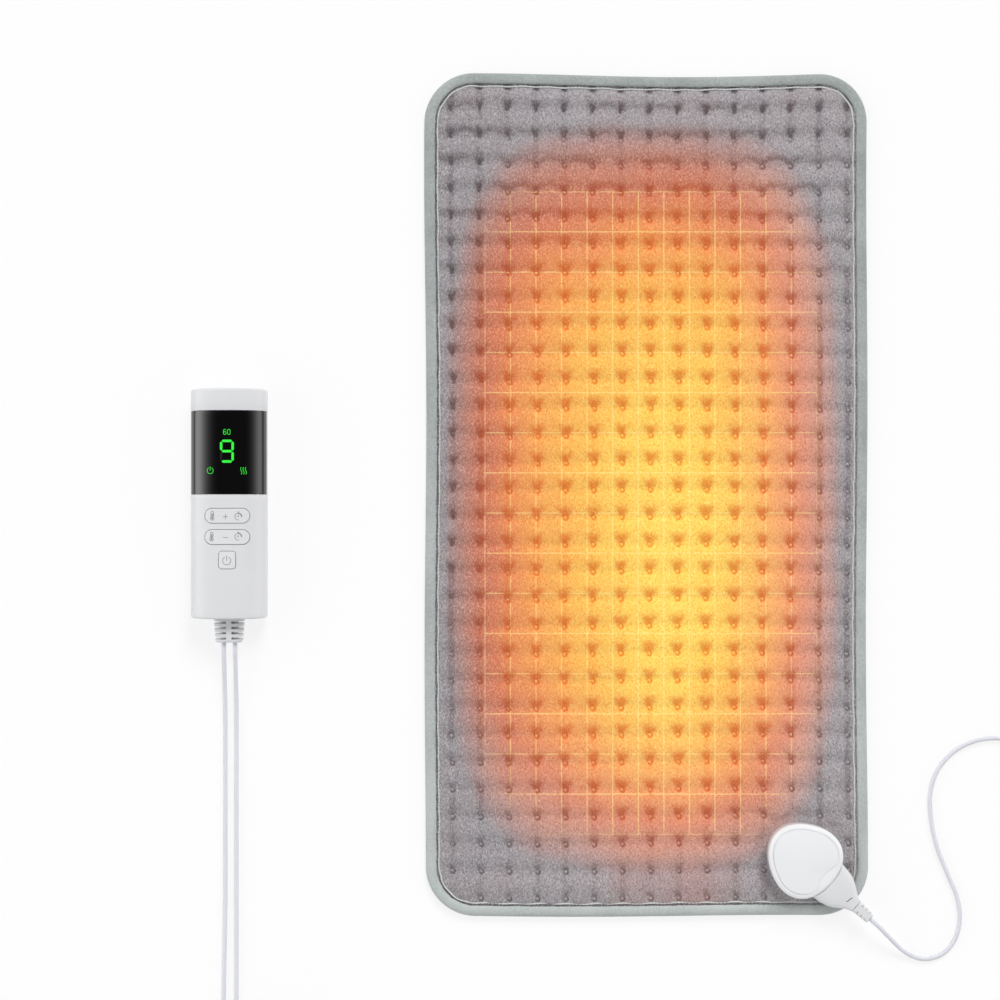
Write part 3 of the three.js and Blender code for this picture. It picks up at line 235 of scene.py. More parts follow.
# %% Shade
class Shade:
    """An output socket of a node, so that shader maths reads as Python."""

    def __init__(self, tree, socket=None):
        self.tree = tree
        self.socket = socket

    def node(self, kind, settings=None, inputs=None, output=0):
        """A new node of a kind, with its settings and the values or links of its sockets."""
        made = self.tree.nodes.new("ShaderNode" + kind)
        for name, value in (settings or {}).items():
            if name == "stops":
                ramp = made.color_ramp.elements
                ramp.remove(ramp[1])
                for number, (place, colour) in enumerate(value):
                    stop = ramp.new(place) if number else ramp[0]
                    stop.position = place
                    stop.color = colour
            else:
                setattr(made, name, value)
        for name, value in (inputs or {}).items():
            if isinstance(value, Shade):
                self.tree.links.new(value.socket, made.inputs[name])
            else:
                made.inputs[name].default_value = value
        return Shade(self.tree, made.outputs[output])

    def other(self, output):
        """Another output of the same node."""
        return Shade(self.tree, self.socket.node.outputs[output])

    def maths(self, operation, *values):
        return self.node("Math", {"operation": operation}, dict(enumerate((self, *values))))

    def __add__(self, value):
        return self.maths("ADD", value)

    def __sub__(self, value):
        return self.maths("SUBTRACT", value)

    def __rsub__(self, value):
        return self.node("Math", {"operation": "SUBTRACT"}, {0: value, 1: self})

    def __mul__(self, value):
        return self.maths("MULTIPLY", value)

    def __truediv__(self, value):
        return self.maths("DIVIDE", value)

    def __pow__(self, value):
        return self.maths("POWER", value)

    def __abs__(self):
        return self.maths("ABSOLUTE")

    __radd__ = __add__
    __rmul__ = __mul__

    def at_least(self, value):
        return self.maths("MAXIMUM", value)

    def at_most(self, value):
        return self.maths("MINIMUM", value)

    def past_nearest(self, first, pitch):
        """How far past the nearest of a row of evenly spaced places this is."""
        return (((self - first) / pitch + 0.5).maths("FRACT") - 0.5) * pitch

    def ease(self, low, high):
        """0 at low, 1 at high, and a smooth change between."""
        return self.node("MapRange", {"interpolation_type": "SMOOTHSTEP"}, {0: self, 1: low, 2: high})

    def mix(self, colour, other):
        """This value as the factor between two colours."""
        return self.node("Mix", {"data_type": "RGBA"}, {0: self, 6: colour, 7: other}, output=2)

    def noise(self, scale, detail=2.0, roughness=0.5):
        """Soft noise over this place."""
        values = {"Vector": self, "Scale": scale, "Detail": detail, "Roughness": roughness}
        return self.node("TexNoise", None, values)

    def bump(self, strength, distance):
        """The normal of a surface that has this as its height."""
        return self.node("Bump", None, {"Strength": strength, "Distance": distance, "Height": self})

# %% New finish
def srgb(red, green, blue):
    """A colour as a picture shows it, 0 to 255, as the linear colour that a shader takes."""
    return tuple((c / 255 / 12.92) if c < 10.3 else ((c / 255 + 0.055) / 1.055) ** 2.4
                 for c in (red, green, blue)) + (1,)


def new_finish(name, colour, roughness, **sockets):
    """A material with its plain values set, its shader and its entry for nodes."""
    material = bpy.data.materials.new(name)
    material.use_nodes = True
    tree = material.node_tree
    shader = tree.nodes["Principled BSDF"]
    shader.inputs["Base Color"].default_value = colour
    shader.inputs["Roughness"].default_value = roughness
    for socket, value in sockets.items():
        shader.inputs[socket.replace("_", " ")].default_value = value
    return material, shader, Shade(tree)


def place_of(entry):
    """The place on the piece itself, and its parts across, along and up."""
    place = entry.node("TexCoord", output=3)
    spot = entry.node("SeparateXYZ", None, {0: place})
    return place, *(spot.other(axis) for axis in range(3))


def feed(shader, **links):
    for socket, value in links.items():
        value.tree.links.new(value.socket, shader.inputs[socket.replace("_", " ")])

# %% [markdown]
# ## Flannel
# The face is a short-napped mauve-grey flannel. The picture shows its warmth as a glow: grey at the
# border, salmon, orange and yellow towards the middle. The glow is a smooth function of the place
# on the pad: a squarish plateau and a long hot spot on it. A colour ramp turns it into those
# colours, and two more ramps hold lit and shaded copies of them, which paint light and shade on the
# same places. The underside stays grey.

# %% Glow
pad_width, pad_length, pad_corner = 315, 600, 35
metre = 1000
cool_below, warm_above = 3.0, 4.0
flannel, shader, entry = new_finish(
    "flannel", srgb(160, 153, 155), 0.92, Sheen_Weight=0.15, Sheen_Roughness=0.6, Specular_IOR_Level=0.2,
    Emission_Strength=0.09,
)
place, *spot = place_of(entry)
across, along, up = (part * metre for part in spot)
squareness, fall = 3.78, 0.931
edgeward = (abs(across + 2.5) / 144) ** squareness + (abs(along + 1) / 268) ** squareness
plateau = (1 - edgeward**fall).at_least(0)
off_x, off_y = (across - 17.2) / 64.1, (along + 70) / 240
hot_spot = (0 - off_x * off_x - off_y * off_y).maths("EXPONENT")
warmth = (plateau * 0.71 + hot_spot * 0.28) * up.ease(cool_below, warm_above)
patches = place.noise(26, 3)
drift = warmth + (patches - 0.5) * 0.14


def heat_ramp(*stops):
    """Colours from the cool border to the warm middle."""
    return drift.node("ValToRGB", {"stops": [(heat, srgb(*colour)) for heat, colour in stops]}, {0: drift})


glow = heat_ramp(
    (0.0, (158, 153, 156)), (0.06, (158, 151, 153)), (0.14, (164, 138, 136)), (0.28, (184, 128, 112)),
    (0.45, (203, 122, 92)), (0.6, (228, 146, 86)), (0.75, (240, 176, 83)), (0.9, (246, 199, 88)),
    (1.0, (248, 209, 94)),
)
# A lit copy of the glow colours: painted light.
lit_cloth = heat_ramp(
    (0.0, (208, 204, 207)), (0.12, (212, 193, 191)), (0.28, (228, 184, 168)), (0.45, (243, 176, 146)),
    (0.6, (251, 192, 138)), (0.75, (254, 218, 140)), (0.9, (255, 234, 146)), (1.0, (255, 240, 150)),
)
# A shaded copy of the glow colours: painted shade.
shaded_cloth = heat_ramp(
    (0.0, (88, 80, 84)), (0.2, (118, 74, 66)), (0.4, (174, 72, 36)), (0.65, (218, 98, 22)),
    (1.0, (231, 130, 26)),
)
print("glow, crest and dip colours")

# %% [markdown]
# A fine pale grid lies over the glow, strongest where it is warm. The cloth is painted lighter towards
# the right edge and the foot, and a little darker towards the left edge: painted light and shade.

# %% Grid
column_x, column_pitch = -114.7, 18.13
row_y, row_pitch = 214.8, 28.49
line_edge, line_core = 0.62, 0.2
columns = abs(across.past_nearest(column_x, column_pitch))
rows = abs(along.past_nearest(row_y, row_pitch))
inside = abs(across - 3.2).ease(120, 117) * abs(along + 13.1).ease(230, 227)
lines = (columns.ease(line_edge, line_core) + rows.ease(line_edge, line_core)).ease(0, 1)
# Painted light towards the right edge and the foot, painted shade towards the left edge.
painted_light_by_place = (across.ease(40, 115) * 0.38).at_least(along.ease(-110, -240) * 0.28) * warmth.ease(0.02, 0.3)
darker = across.ease(-55, -150) * 0.14
pale_line = srgb(255, 232, 150)
lit_and_shaded_glow = darker.mix(painted_light_by_place.mix(glow, lit_cloth), shaded_cloth)
lined = (lines * inside * warmth.ease(0.1, 0.45) * 0.5).mix(lit_and_shaded_glow, pale_line)
print("grid of", column_pitch, "by", row_pitch, "mm")

# %% [markdown]
# The painted shade of the dimples is drawn from the quilt's own lattice, which the mesh carries as
# `sewn_place`: the flat place of each point before the pad was laid down. From it come the way to
# the nearest tuft, loosened by noise so that no two dimples are alike, and the distance in from the
# pad's edge. Along the upper left and top edges the folds close over the tufts.

# %% Place on the quilt
tuft_x, tuft_y, tuft_across, tuft_along = -138.4, 273.0, 20.1, 19.3
straight_x, straight_y = pad_width / 2 - pad_corner, pad_length / 2 - pad_corner
attribute = entry.node("Attribute", {"attribute_name": "sewn_place"}, output=1)
sewn = entry.node("SeparateXYZ", None, {0: attribute})
sewn_across, sewn_up, sewn_down = (sewn.other(axis) for axis in range(3))
beside = sewn_across.past_nearest(tuft_x, tuft_across)
above = sewn_up.past_nearest(tuft_y, tuft_along)
loose_x = beside + (place.noise(120, 3) - 0.5) * 4
loose_y = above + (place.noise(95, 3) - 0.5) * 5
over_x, over_y = abs(sewn_across) - straight_x, abs(sewn_up) - straight_y
round_x, round_y = over_x.at_least(0), over_y.at_least(0)
from_edge = pad_corner - (round_x * round_x + round_y * round_y) ** 0.5 - over_x.at_least(over_y).at_most(0)
from_left, from_top = sewn_across + pad_width / 2, pad_length / 2 - sewn_up
open_fold = (from_left.ease(34, 58) * from_top.ease(34, 58)).at_least(sewn_up.ease(-30, -130))
print("tufts every", tuft_across, "by", tuft_along, "mm")

# %% [markdown]
# Above each tuft a dark fan of painted shade marks the fold, and a crescent of painted shade runs
# round the tuft. Fans are wide where the pad is warm and faint in the grey rows at the foot.

# %% Dimples
hot = warmth.ease(0.1, 0.55)
faint = (open_fold - hot).ease(0, 1)
uneven_width = place.noise(40, 2) * 0.9 + 0.6
fan_width = (loose_y.at_least(0) * 0.5 + 2.0) * uneven_width * (hot * 0.3 + 0.72)
fan_height = (loose_y + faint * 3).ease(11.0, 4.0) * (1 - faint * 0.3 - hot * 0.2)
fan_shade = (abs(loose_x) / fan_width).ease(1.4, 0.3) * above.ease(-1.6, 0.6) * fan_height
ring_radius = 1.5
off_bead, under_bead = beside - 0.35, above + 0.25
one_sided = (off_bead - under_bead).ease(-2.2, 1.2) * 0.6 + 0.4
off_ring = abs((off_bead * off_bead + under_bead * under_bead) ** 0.5 - ring_radius)
crescent_shade = off_ring.ease(1.2, 0.2) * one_sided * open_fold * 0.9
print("fans and crescents drawn")

# %% [markdown]
# Painted shade marks bowed folds from tuft to tuft in the top rows, and elsewhere soft folds down the
# columns. Along the top binding each column ends in a small dark nick of painted shade, and a dark
# crease of painted shade runs all round beside the tape.

# %% Folds
folded = place.noise(33, 2)
to_middle = 1 - abs(beside) / (tuft_across / 2)
bowed = loose_y - (1 - to_middle * to_middle) * (folded * 5 + 1.5)
by_top = folded.ease(0.38, 0.60) * sewn_up.ease(110, 235) * 0.55
row_fold_shade = bowed.ease(-2.4, 0.6) * bowed.ease(6.0, 0.8) * by_top
by_sides = abs(sewn_across).ease(95, 135) * 0.25 + 0.22
side_fold_shade = abs(loose_x).ease(3.8, 0.5) * folded.ease(0.62, 0.42) * by_sides
dimple_shade = fan_shade.at_least(crescent_shade).at_least(row_fold_shade).at_least(side_fold_shade)
nick_shade = abs(beside).ease(4.0, 0.8) * sewn_up.ease(286.4, 288.6)
shade = nick_shade.at_least(dimple_shade * sewn_down)
# Painted shade in the crevice beside the tape, stronger towards the left edge.
crevice_shade = from_edge.ease(9.9, 9.2) * (sewn_across.ease(140, 60) * 0.5 + 0.25)
deep = crevice_shade.mix((shade * 0.95).mix(lined, shaded_cloth), srgb(84, 82, 84))
print("folds, nicks and crease drawn")

# %% [markdown]
# The nap is noise at the scale of the fibres, stretched along the brush marks: light tips, dark
# gaps and a fine bump. A little of the warm colour is also given off as light, so that the dimples
# stay warm.

# %% Nap
brushed = entry.node("Mapping", None, {"Vector": place, "Rotation": (0, 0, 0.9), "Scale": (1.3, 0.85, 1)})
fibres, fuzz = brushed.noise(640, 2, 0.6), brushed.noise(1250, 2, 0.6)
speckle = (fibres - 0.5) * 0.8 + (fuzz - 0.5) * 0.9
light_tips = speckle.ease(0.0, 0.24) * (1 - shade * 0.6) * 0.6
dark_gaps = (0 - speckle).ease(0.0, 0.24) * 0.6
feed(
    shader,
    Base_Color=dark_gaps.mix(light_tips.mix(deep, lit_cloth), shaded_cloth),
    Emission_Color=warmth.mix((0, 0, 0, 1), deep),
    Normal=(fibres * 0.7 + fuzz * 0.5).bump(0.5, 0.8 * mm),
)
print("warm cloth:", len(flannel.node_tree.nodes), "nodes")

# %% [markdown]
# ## Woven, moulded and metal finishes
# The binding is a grey-green jersey tape, so its finish is rows of tiny loops: two sine waves
# multiplied. It is a little worn, and painted light makes it paler towards the foot. The sewing thread
# shows its twist.

# %% Binding and thread finishes
loop_rate = 5200  # radians a metre
binding_tape, shader, entry = new_finish(
    "binding_tape", srgb(166, 172, 170), 0.9, Sheen_Weight=0.2, Specular_IOR_Level=0.2)
place, *spot = place_of(entry)
loops = (spot[0] * loop_rate).maths("SINE") * (spot[1] * loop_rate).maths("SINE")
fuzz, worn = place.noise(700, 3, 0.6), place.noise(30, 3)
# Painted light: the tape is lighter towards the foot.
painted_light_footward = (spot[1] * metre).ease(200, -300)
pale = (loops * 0.10 + fuzz * 0.5 + worn * 0.4 + painted_light_footward * 0.2).ease(0.25, 0.75)
feed(shader, Base_Color=pale.mix(srgb(143, 150, 148), srgb(188, 194, 192)),
     Normal=(loops * 0.5 + fuzz).bump(0.4, 0.3 * mm))

thread, shader, entry = new_finish(
    "thread", srgb(212, 214, 212), 0.85, Sheen_Weight=0.2, Specular_IOR_Level=0.3)
place = entry.node("TexCoord", output=3)
twist = entry.node("TexWave", {"bands_direction": "DIAGONAL"},
                   {"Vector": place, "Scale": 620, "Distortion": 1.5})
feed(shader, Base_Color=twist.mix(srgb(186, 190, 188), srgb(218, 221, 219)),
     Normal=twist.bump(0.5, 0.2 * mm))
print("fabrics:", flannel.name, binding_tape.name, thread.name)

# %% [markdown]
# The mouldings are polished plastic, which is never quite even, so a soft noise moves their
# roughness and colour a little and a finer one gives the slight orange peel that a moulded surface
# has.

# %% Moulded finishes
def moulded(name, colour, roughness, peel=0.05, **sockets):
    """Plastic out of a mould: its colour and gloss drift a little, and a fine peel moves its highlights."""
    material, shader, entry = new_finish(name, colour, roughness, **sockets)
    place = entry.node("TexCoord", output=3)
    drift, fine = place.noise(45, 3), place.noise(1300, 2)
    darker = tuple(c * 0.94 for c in colour[:3]) + (1,)
    feed(
        shader,
        Base_Color=(drift * 0.7 + fine * 0.3).mix(darker, colour),
        Roughness=(drift - 0.5) * 0.06 + (fine - 0.5) * 0.02 + roughness,
        Normal=fine.bump(peel, 0.2 * mm),
    )
    return material


white_shell = moulded("white_shell", srgb(222, 223, 225), 0.34, Coat_Weight=0.15, Coat_Roughness=0.12)
white_gloss = moulded("white_gloss", srgb(238, 239, 241), 0.22, Coat_Weight=0.3, Coat_Roughness=0.08)
white_keys = moulded("white_keys", srgb(224, 225, 227), 0.34)
white_cord = moulded("white_cord", srgb(221, 221, 229), 0.42, peel=0.12)
black_window = moulded("black_window", srgb(9, 9, 10), 0.06, peel=0.004, Specular_IOR_Level=0.9,
                       Coat_Weight=0.5, Coat_Roughness=0.03)
dark_plastic = moulded("dark_plastic", srgb(38, 39, 42), 0.5)
grey_insulator = moulded("grey_insulator", srgb(150, 152, 156), 0.5)
green_plastic = moulded("green_plastic", srgb(52, 128, 84), 0.45)
ochre_film = moulded("ochre_film", srgb(196, 142, 52), 0.4)
heater_insulation = moulded("heater_insulation", srgb(206, 96, 68), 0.5)
fuse_glass = moulded("fuse_glass", srgb(190, 205, 205), 0.1, Transmission_Weight=0.6)
key_ink = moulded("key_ink", srgb(146, 147, 150), 0.5, peel=0.02)
dark_ink = moulded("dark_ink", srgb(66, 67, 70), 0.5, peel=0.02)
unlit_segment = moulded("unlit_segment", srgb(31, 32, 33), 0.3, peel=0.01)
lit_green = moulded("lit_green", srgb(14, 70, 20), 0.4, peel=0.01, Emission_Color=srgb(56, 255, 66),
                    Emission_Strength=0.95)
for cord in (pad_cord, mains_cord):
    cord.data.materials.append(white_cord)
print("moulded finishes made")

# %% [markdown]
# Pins, blades and screws are drawn or turned metal with a fine grain along it. The circuit boards
# are green, with paler copper tracks under the lacquer, for which a square-celled pattern is near
# enough at this size.

# %% Metal and circuit board finishes
def metal(name, colour, roughness):
    """Metal with a fine grain."""
    material, shader, entry = new_finish(name, colour, roughness, Metallic=1.0)
    place = entry.node("TexCoord", output=3)
    grain = entry.node("Mapping", None, {"Vector": place, "Scale": (1, 14, 3)}).noise(260, 3)
    feed(shader, Roughness=(grain - 0.5) * 0.25 + roughness, Normal=grain.bump(0.08, 0.1 * mm))
    return material


brass = metal("brass", srgb(214, 178, 104), 0.28)
steel = metal("steel", srgb(196, 198, 202), 0.3)

circuit_board, shader, entry = new_finish("circuit_board", srgb(24, 92, 58), 0.4)
place = entry.node("TexCoord", output=3)
squares = entry.node("TexVoronoi", {"distance": "CHEBYCHEV"}, {"Vector": place, "Scale": 210})
feed(shader, Base_Color=squares.ease(0.42, 0.5).mix(srgb(22, 86, 54), srgb(48, 128, 84)))
print("metals:", brass.name, steel.name)

# %% [markdown]
# ## Making and placing pieces
# Most pieces here are lofts: a row of rings, each with the same number of points, skinned with
# four-sided faces. A few helpers make them, and one more hands a piece to the frame with its body,
# its finish and the solids that it stands for.

# %% Lofts
def piece_from(name, points, faces):
    """A piece from points in millimetres and the faces between them."""
    mesh = bpy.data.meshes.new(name)
    mesh.from_pydata((np.asarray(points, float).reshape(-1, 3) * mm).tolist(), [], faces)
    made = bpy.data.objects.new(name, mesh)
    scene.collection.objects.link(made)
    return made


def outward(piece, upward=False):
    """Turn every face out, or for a flat piece, up."""
    work = bmesh.new()
    work.from_mesh(piece.data)
    bmesh.ops.recalc_face_normals(work, faces=work.faces)
    for face in work.faces:
        if upward and face.normal.z < 0:
            face.normal_flip()
    work.to_mesh(piece.data)
    work.free()
    return piece


def skin(rings, around, first=0, joined=False):
    """Four-sided faces between rows of points, from the number of the first point."""
    number = first + np.arange(rings * around).reshape(rings, around)
    if joined:
        number = np.vstack([number, number[:1]])
    a, d = number[:-1], number[1:]
    return np.stack([a, np.roll(a, -1, 1), np.roll(d, -1, 1), d], -1).reshape(-1, 4).tolist()


def lofts(name, stacks):
    """Closed skins through stacks of rings, all in one piece."""
    count, rings, around, _ = np.shape(stacks)
    faces = []
    for first in range(0, count * rings * around, rings * around):
        last = first + (rings - 1) * around
        ends = [list(range(start, start + around)) for start in (first, last)]
        faces += skin(rings, around, first) + ends
    return outward(piece_from(name, stacks, faces))


def loft(name, rings):
    return lofts(name, [rings])


def prism(name, place, flat, low, high):
    """A straight tool: a flat outline between two heights."""
    return loft(name, [place(points_of(*flat.T, z)) for z in (low, high)])

# %% [markdown]
# Hollows, slots and pockets are cut out with solid tools, as a maker would mill them, and the cut
# mesh is kept. Smooth shading then leaves only the real edges sharp.

# %% Cutting and placing
def settle(piece):
    """Keep the mesh that the piece's modifiers make."""
    piece.data = bpy.data.meshes.new_from_object(piece.evaluated_get(bpy.context.evaluated_depsgraph_get()))
    piece.modifiers.clear()
    return piece


def cut(piece, *tools):
    for tool in tools:
        modifier = piece.modifiers.new("cut", "BOOLEAN")
        modifier.solver = "EXACT"
        modifier.operation = "DIFFERENCE"
        modifier.object = tool
    settle(piece)
    for tool in tools:
        bpy.data.objects.remove(tool)
    return piece


def smooth(piece, angle=35):
    piece.data.shade_smooth()
    piece.data.set_sharp_from_angle(angle=math.radians(angle))
    return piece


def put(piece, body, slot, finish, *nodes):
    """Give a piece its finish and body, and hide the solids that it stands for. The slot is not used."""
    piece.data.materials.clear()
    piece.data.materials.append(finish)
    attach(piece, body)
    if nodes:
        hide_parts(*nodes)
    print(piece.name, len(piece.data.polygons), "faces on", body)
    return piece

# %% [markdown]
# ## Quilted face
# The face cover is sewn down to the layers below at 15 by 30 tufts and puffs up between them. A
# fine grid, lined up with the tufts, is held there, at the binding and under the socket. A used pad
# isn't quite straight, so every sewn piece is laid down at the end by one small bend that all of
# them share.

# %% Lie of the pad
socket_reach, lobe_depth = 26.4, 0.05


def inset(x, y):
    """How far a point lies inside the pad's outline."""
    dx, dy = np.abs(x) - straight_x, np.abs(y) - straight_y
    return pad_corner - np.where((dx > 0) & (dy > 0), np.hypot(dx, dy), np.maximum(dx, dy))


def socket_wall(angle):
    """How far out the socket's three-lobed wall stands, at an angle from its plug."""
    return socket_reach * (1 - lobe_depth * np.cos(3 * angle))


def from_socket(x, y):
    """Distance out from the socket's wall, and the place along and across its plug."""
    dx, dy = x - socket_x, y - socket_y
    u = dx * math.cos(plug_turn) + dy * math.sin(plug_turn)
    v = dy * math.cos(plug_turn) - dx * math.sin(plug_turn)
    return np.hypot(u, v) - socket_wall(np.arctan2(v, u)), u, v


def lie(points):
    """The pad as it lies: its top edge dips and its rows wander a little."""
    p = np.array(points, float)
    x, y = p[..., 0].copy(), p[..., 1].copy()
    p[..., 1] -= 2.6 * np.cos(np.pi * x / pad_width) ** 2 * smoothstep(y, 90, 300)
    p[..., 1] += 0.7 * np.sin(0.021 * x + 0.006 * y + 1.3)
    p[..., 0] += 0.6 * np.sin(0.019 * y + 0.4) - 0.9 * (x / pad_width) * np.cos(np.pi * y / pad_length) ** 2
    return p


print("the socket's middle lies", round(float(inset(socket_x, socket_y)), 1), "mm inside the outline")

# %% Cloth grid
cells = 8
tape_hold, sewn_in, clamp_gap = 4.5, 10.6, 4.5
flat_level, clamp_level, tuft_level, crown_level = 5.0, 6.2, 4.6, 9.7
grid_x = np.arange(tuft_x - 2 * tuft_across, 160, tuft_across / cells)
grid_y = np.arange(tuft_y + 2 * tuft_along, -310, -tuft_along / cells)
gx, gy = np.meshgrid(grid_x, grid_y)
on_column = np.rint((gx - tuft_x) / (tuft_across / cells)).astype(int) % cells == 0
on_row = np.rint((tuft_y - gy) / (tuft_along / cells)).astype(int) % cells == 0
deep_in = inset(gx, gy)
socket_gap = from_socket(gx, gy)[0]
is_tuft = on_column & on_row & (deep_in > 11.5) & (socket_gap > clamp_gap)
is_nick = on_column & (deep_in < 13.2) & (gy > 280)
held = (deep_in < sewn_in) | is_tuft | is_nick | (socket_gap < clamp_gap)
by_column = np.cos(np.pi * (gx - tuft_x) / tuft_across) ** 2
by_row = np.cos(np.pi * (gy - tuft_y) / tuft_along) ** 2
puff = 1 - by_column * by_row
uneven = np.random.default_rng(7).standard_normal(gx.shape)
held_level = np.where(socket_gap < clamp_gap, clamp_level, flat_level)
gz = np.where(held, held_level, flat_level + puff + 0.12 * uneven)
gz = np.where(is_tuft | is_nick, tuft_level, gz)


def grid_faces(kept):
    """Four-sided faces between the kept points of a grid."""
    number = np.where(kept, np.cumsum(kept).reshape(kept.shape) - 1, -1)
    corners = [number[:-1, :-1], number[1:, :-1], number[1:, 1:], number[:-1, 1:]]
    faces = np.stack(corners, -1).reshape(-1, 4)
    return faces[faces.min(axis=1) >= 0]


keep = deep_in > tape_hold
cloth_faces = grid_faces(keep).tolist()
sheet = points_of(gx, gy, gz)[keep]
print(is_tuft.sum(), "tufts hold", len(sheet), "points of cloth")

# %% [markdown]
# Cloth with pressure puffs up just as a quilt does. It is simulated at ten times its size, where
# cloth behaves better, and the result is kept.

# %% Cloth under pressure
def points_in(piece):
    """The points of a piece, in millimetres."""
    flat = np.empty(len(piece.data.vertices) * 3, np.float32)
    piece.data.vertices.foreach_get("co", flat)
    return flat.reshape(-1, 3).astype(float) / mm


def blow_up(points, faces, pinned, frames=10, larger=10):
    """Cloth under pressure, held at the pinned points, worked out at a larger size."""
    trial = piece_from("cloth_trial", points * larger, faces)
    group = trial.vertex_groups.new(name="held")
    group.add(np.flatnonzero(pinned).tolist(), 1.0, "REPLACE")
    cloth = trial.modifiers.new("cloth", "CLOTH")
    settings = cloth.settings
    settings.vertex_group_mass = "held"
    settings.mass = 0.1
    settings.quality = 6
    settings.tension_stiffness = settings.compression_stiffness = 15
    settings.shear_stiffness = 5
    settings.bending_stiffness = 25
    settings.air_damping = 2
    settings.shrink_min = -0.04
    settings.use_pressure = True
    settings.uniform_pressure_force = 40
    settings.effector_weights.gravity = 0
    cloth.collision_settings.use_collision = False
    cloth.point_cache.frame_end = frames + 2
    for step in range(1, frames + 1):
        scene.frame_set(step)
    settle(trial)
    blown = points_in(trial) / larger
    bpy.data.objects.remove(trial)
    scene.frame_set(1)
    return blown


sheet = blow_up(sheet, cloth_faces, held[keep])
print("cloth up to", round(sheet[:, 2].max(), 2), "mm")

# %% [markdown]
# The filling is springier than air: it keeps the cloth high and lets it fall only close to the
# tufts. So the heights are eased towards the crown, more in the middle of the pad than along its
# edges. There the seams draw creases, which run down the columns at both sides and bow from tuft to
# tuft at the top. Below the plug the cloth is pressed flat.

# %% Filling
highest = 9.9
x, y, z = sheet.T.copy()
sheet_in = inset(x, y)
share = np.clip((z - tuft_level) / (crown_level - tuft_level), 0, 1)
softness = 1.05 + 0.7 * smoothstep(sheet_in, 20, 90)
filled = tuft_level + (crown_level - tuft_level) * (1 - (1 - share) ** softness)
off_column = (x - tuft_x + tuft_across / 2) % tuft_across - tuft_across / 2
off_row = (y - tuft_y + tuft_along / 2) % tuft_along - tuft_along / 2
bow = 4.0 * (1 - (1 - np.abs(off_column) / (tuft_across / 2)) ** 2)
side_depth = 0.35 + 1.45 * smoothstep(np.abs(x), 90, 135)
row_depth = 0.15 + 0.3 * smoothstep(sheet_in, 110, 25) + 1.5 * smoothstep(y, 150, 260)
side_crease = np.exp(-np.abs(off_column) / 2.6) * side_depth
row_crease = np.exp(-np.abs(off_row - bow) / 2.8) * row_depth
filled -= np.maximum(side_crease, row_crease) * share
wall_gap, plug_u, plug_v = from_socket(x, y)
free = (sheet_in > sewn_in) & (wall_gap > clamp_gap)
under_plug = np.where(plug_u > 12, clamp_level + 0.8 * np.maximum(np.abs(plug_v) - 17, 0), highest)
sheet[:, 2] = np.minimum(np.where(free, filled, z), np.minimum(under_plug, highest))
print("face cover", len(sheet), "points, highest", round(sheet[:, 2].max(), 2), "mm")

# %% [markdown]
# The cloth gets one subdivision, so that the tufts are round. The edge is taken down and closed, so
# the cover is one solid cushion. Each point then keeps its flat place, and whether a tuft holds it
# down, for the painted shade in the dimples.

# %% Face cover
rim_level = 4.3
face_cover = piece_from("face_cover", sheet, cloth_faces)
face_cover.modifiers.new("rounder", "SUBSURF").levels = 1
settle(face_cover)
work = bmesh.new()
work.from_mesh(face_cover.data)
rim = [edge for edge in work.edges if edge.is_boundary]
for vertex in bmesh.ops.extrude_edge_only(work, edges=rim)["geom"]:
    if isinstance(vertex, bmesh.types.BMVert):
        vertex.co.z = rim_level * mm
bmesh.ops.holes_fill(work, edges=[edge for edge in work.edges if edge.is_boundary], sides=0)
bmesh.ops.recalc_face_normals(work, faces=work.faces)
work.to_mesh(face_cover.data)
work.free()
print("face cover closed")

# %% Sewn places
held_within = 14.5
tufts = np.stack([gx[is_tuft], gy[is_tuft]], 1)
tuft_tree = KDTree(len(tufts))
for index, (x, y) in enumerate(tufts):
    tuft_tree.insert((x, y, 0), index)
tuft_tree.balance()
cover_points = points_in(face_cover)
nearest = [tuft_tree.find((x, y, 0))[1] for x, y, _ in cover_points]
gap = np.linalg.norm(cover_points[:, :2] - tufts[nearest], axis=1)
tuft_floor = {}
for index, height, distance in zip(nearest, cover_points[:, 2], gap):
    if distance < 0.1 and height > rim_level + 0.1:
        tuft_floor[index] = height


def keep_places(piece, places):
    """Store each point's flat place and whether a tuft holds it, where the finish reads them."""
    sewn_place = piece.data.attributes.new("sewn_place", "FLOAT_VECTOR", "POINT")
    sewn_place.data.foreach_set("vector", np.asarray(places, np.float32).ravel())


keep_places(face_cover, points_of(*cover_points[:, :2].T, gap < held_within))
face_cover.data.vertices.foreach_set("co", (lie(cover_points) * mm).astype(np.float32).ravel())
face_cover.data.shade_smooth()
put(face_cover, "pad", "flannel", flannel, "quilted_face")

# %% [markdown]
# Each tuft is a small round weld that stands up as a bead in its dimple. Along the top edge and the
# upper left edge the folds close over it, so no bead shows there. One bead is a dome of three rings
# and a top point, and all are copies of it in one mesh.

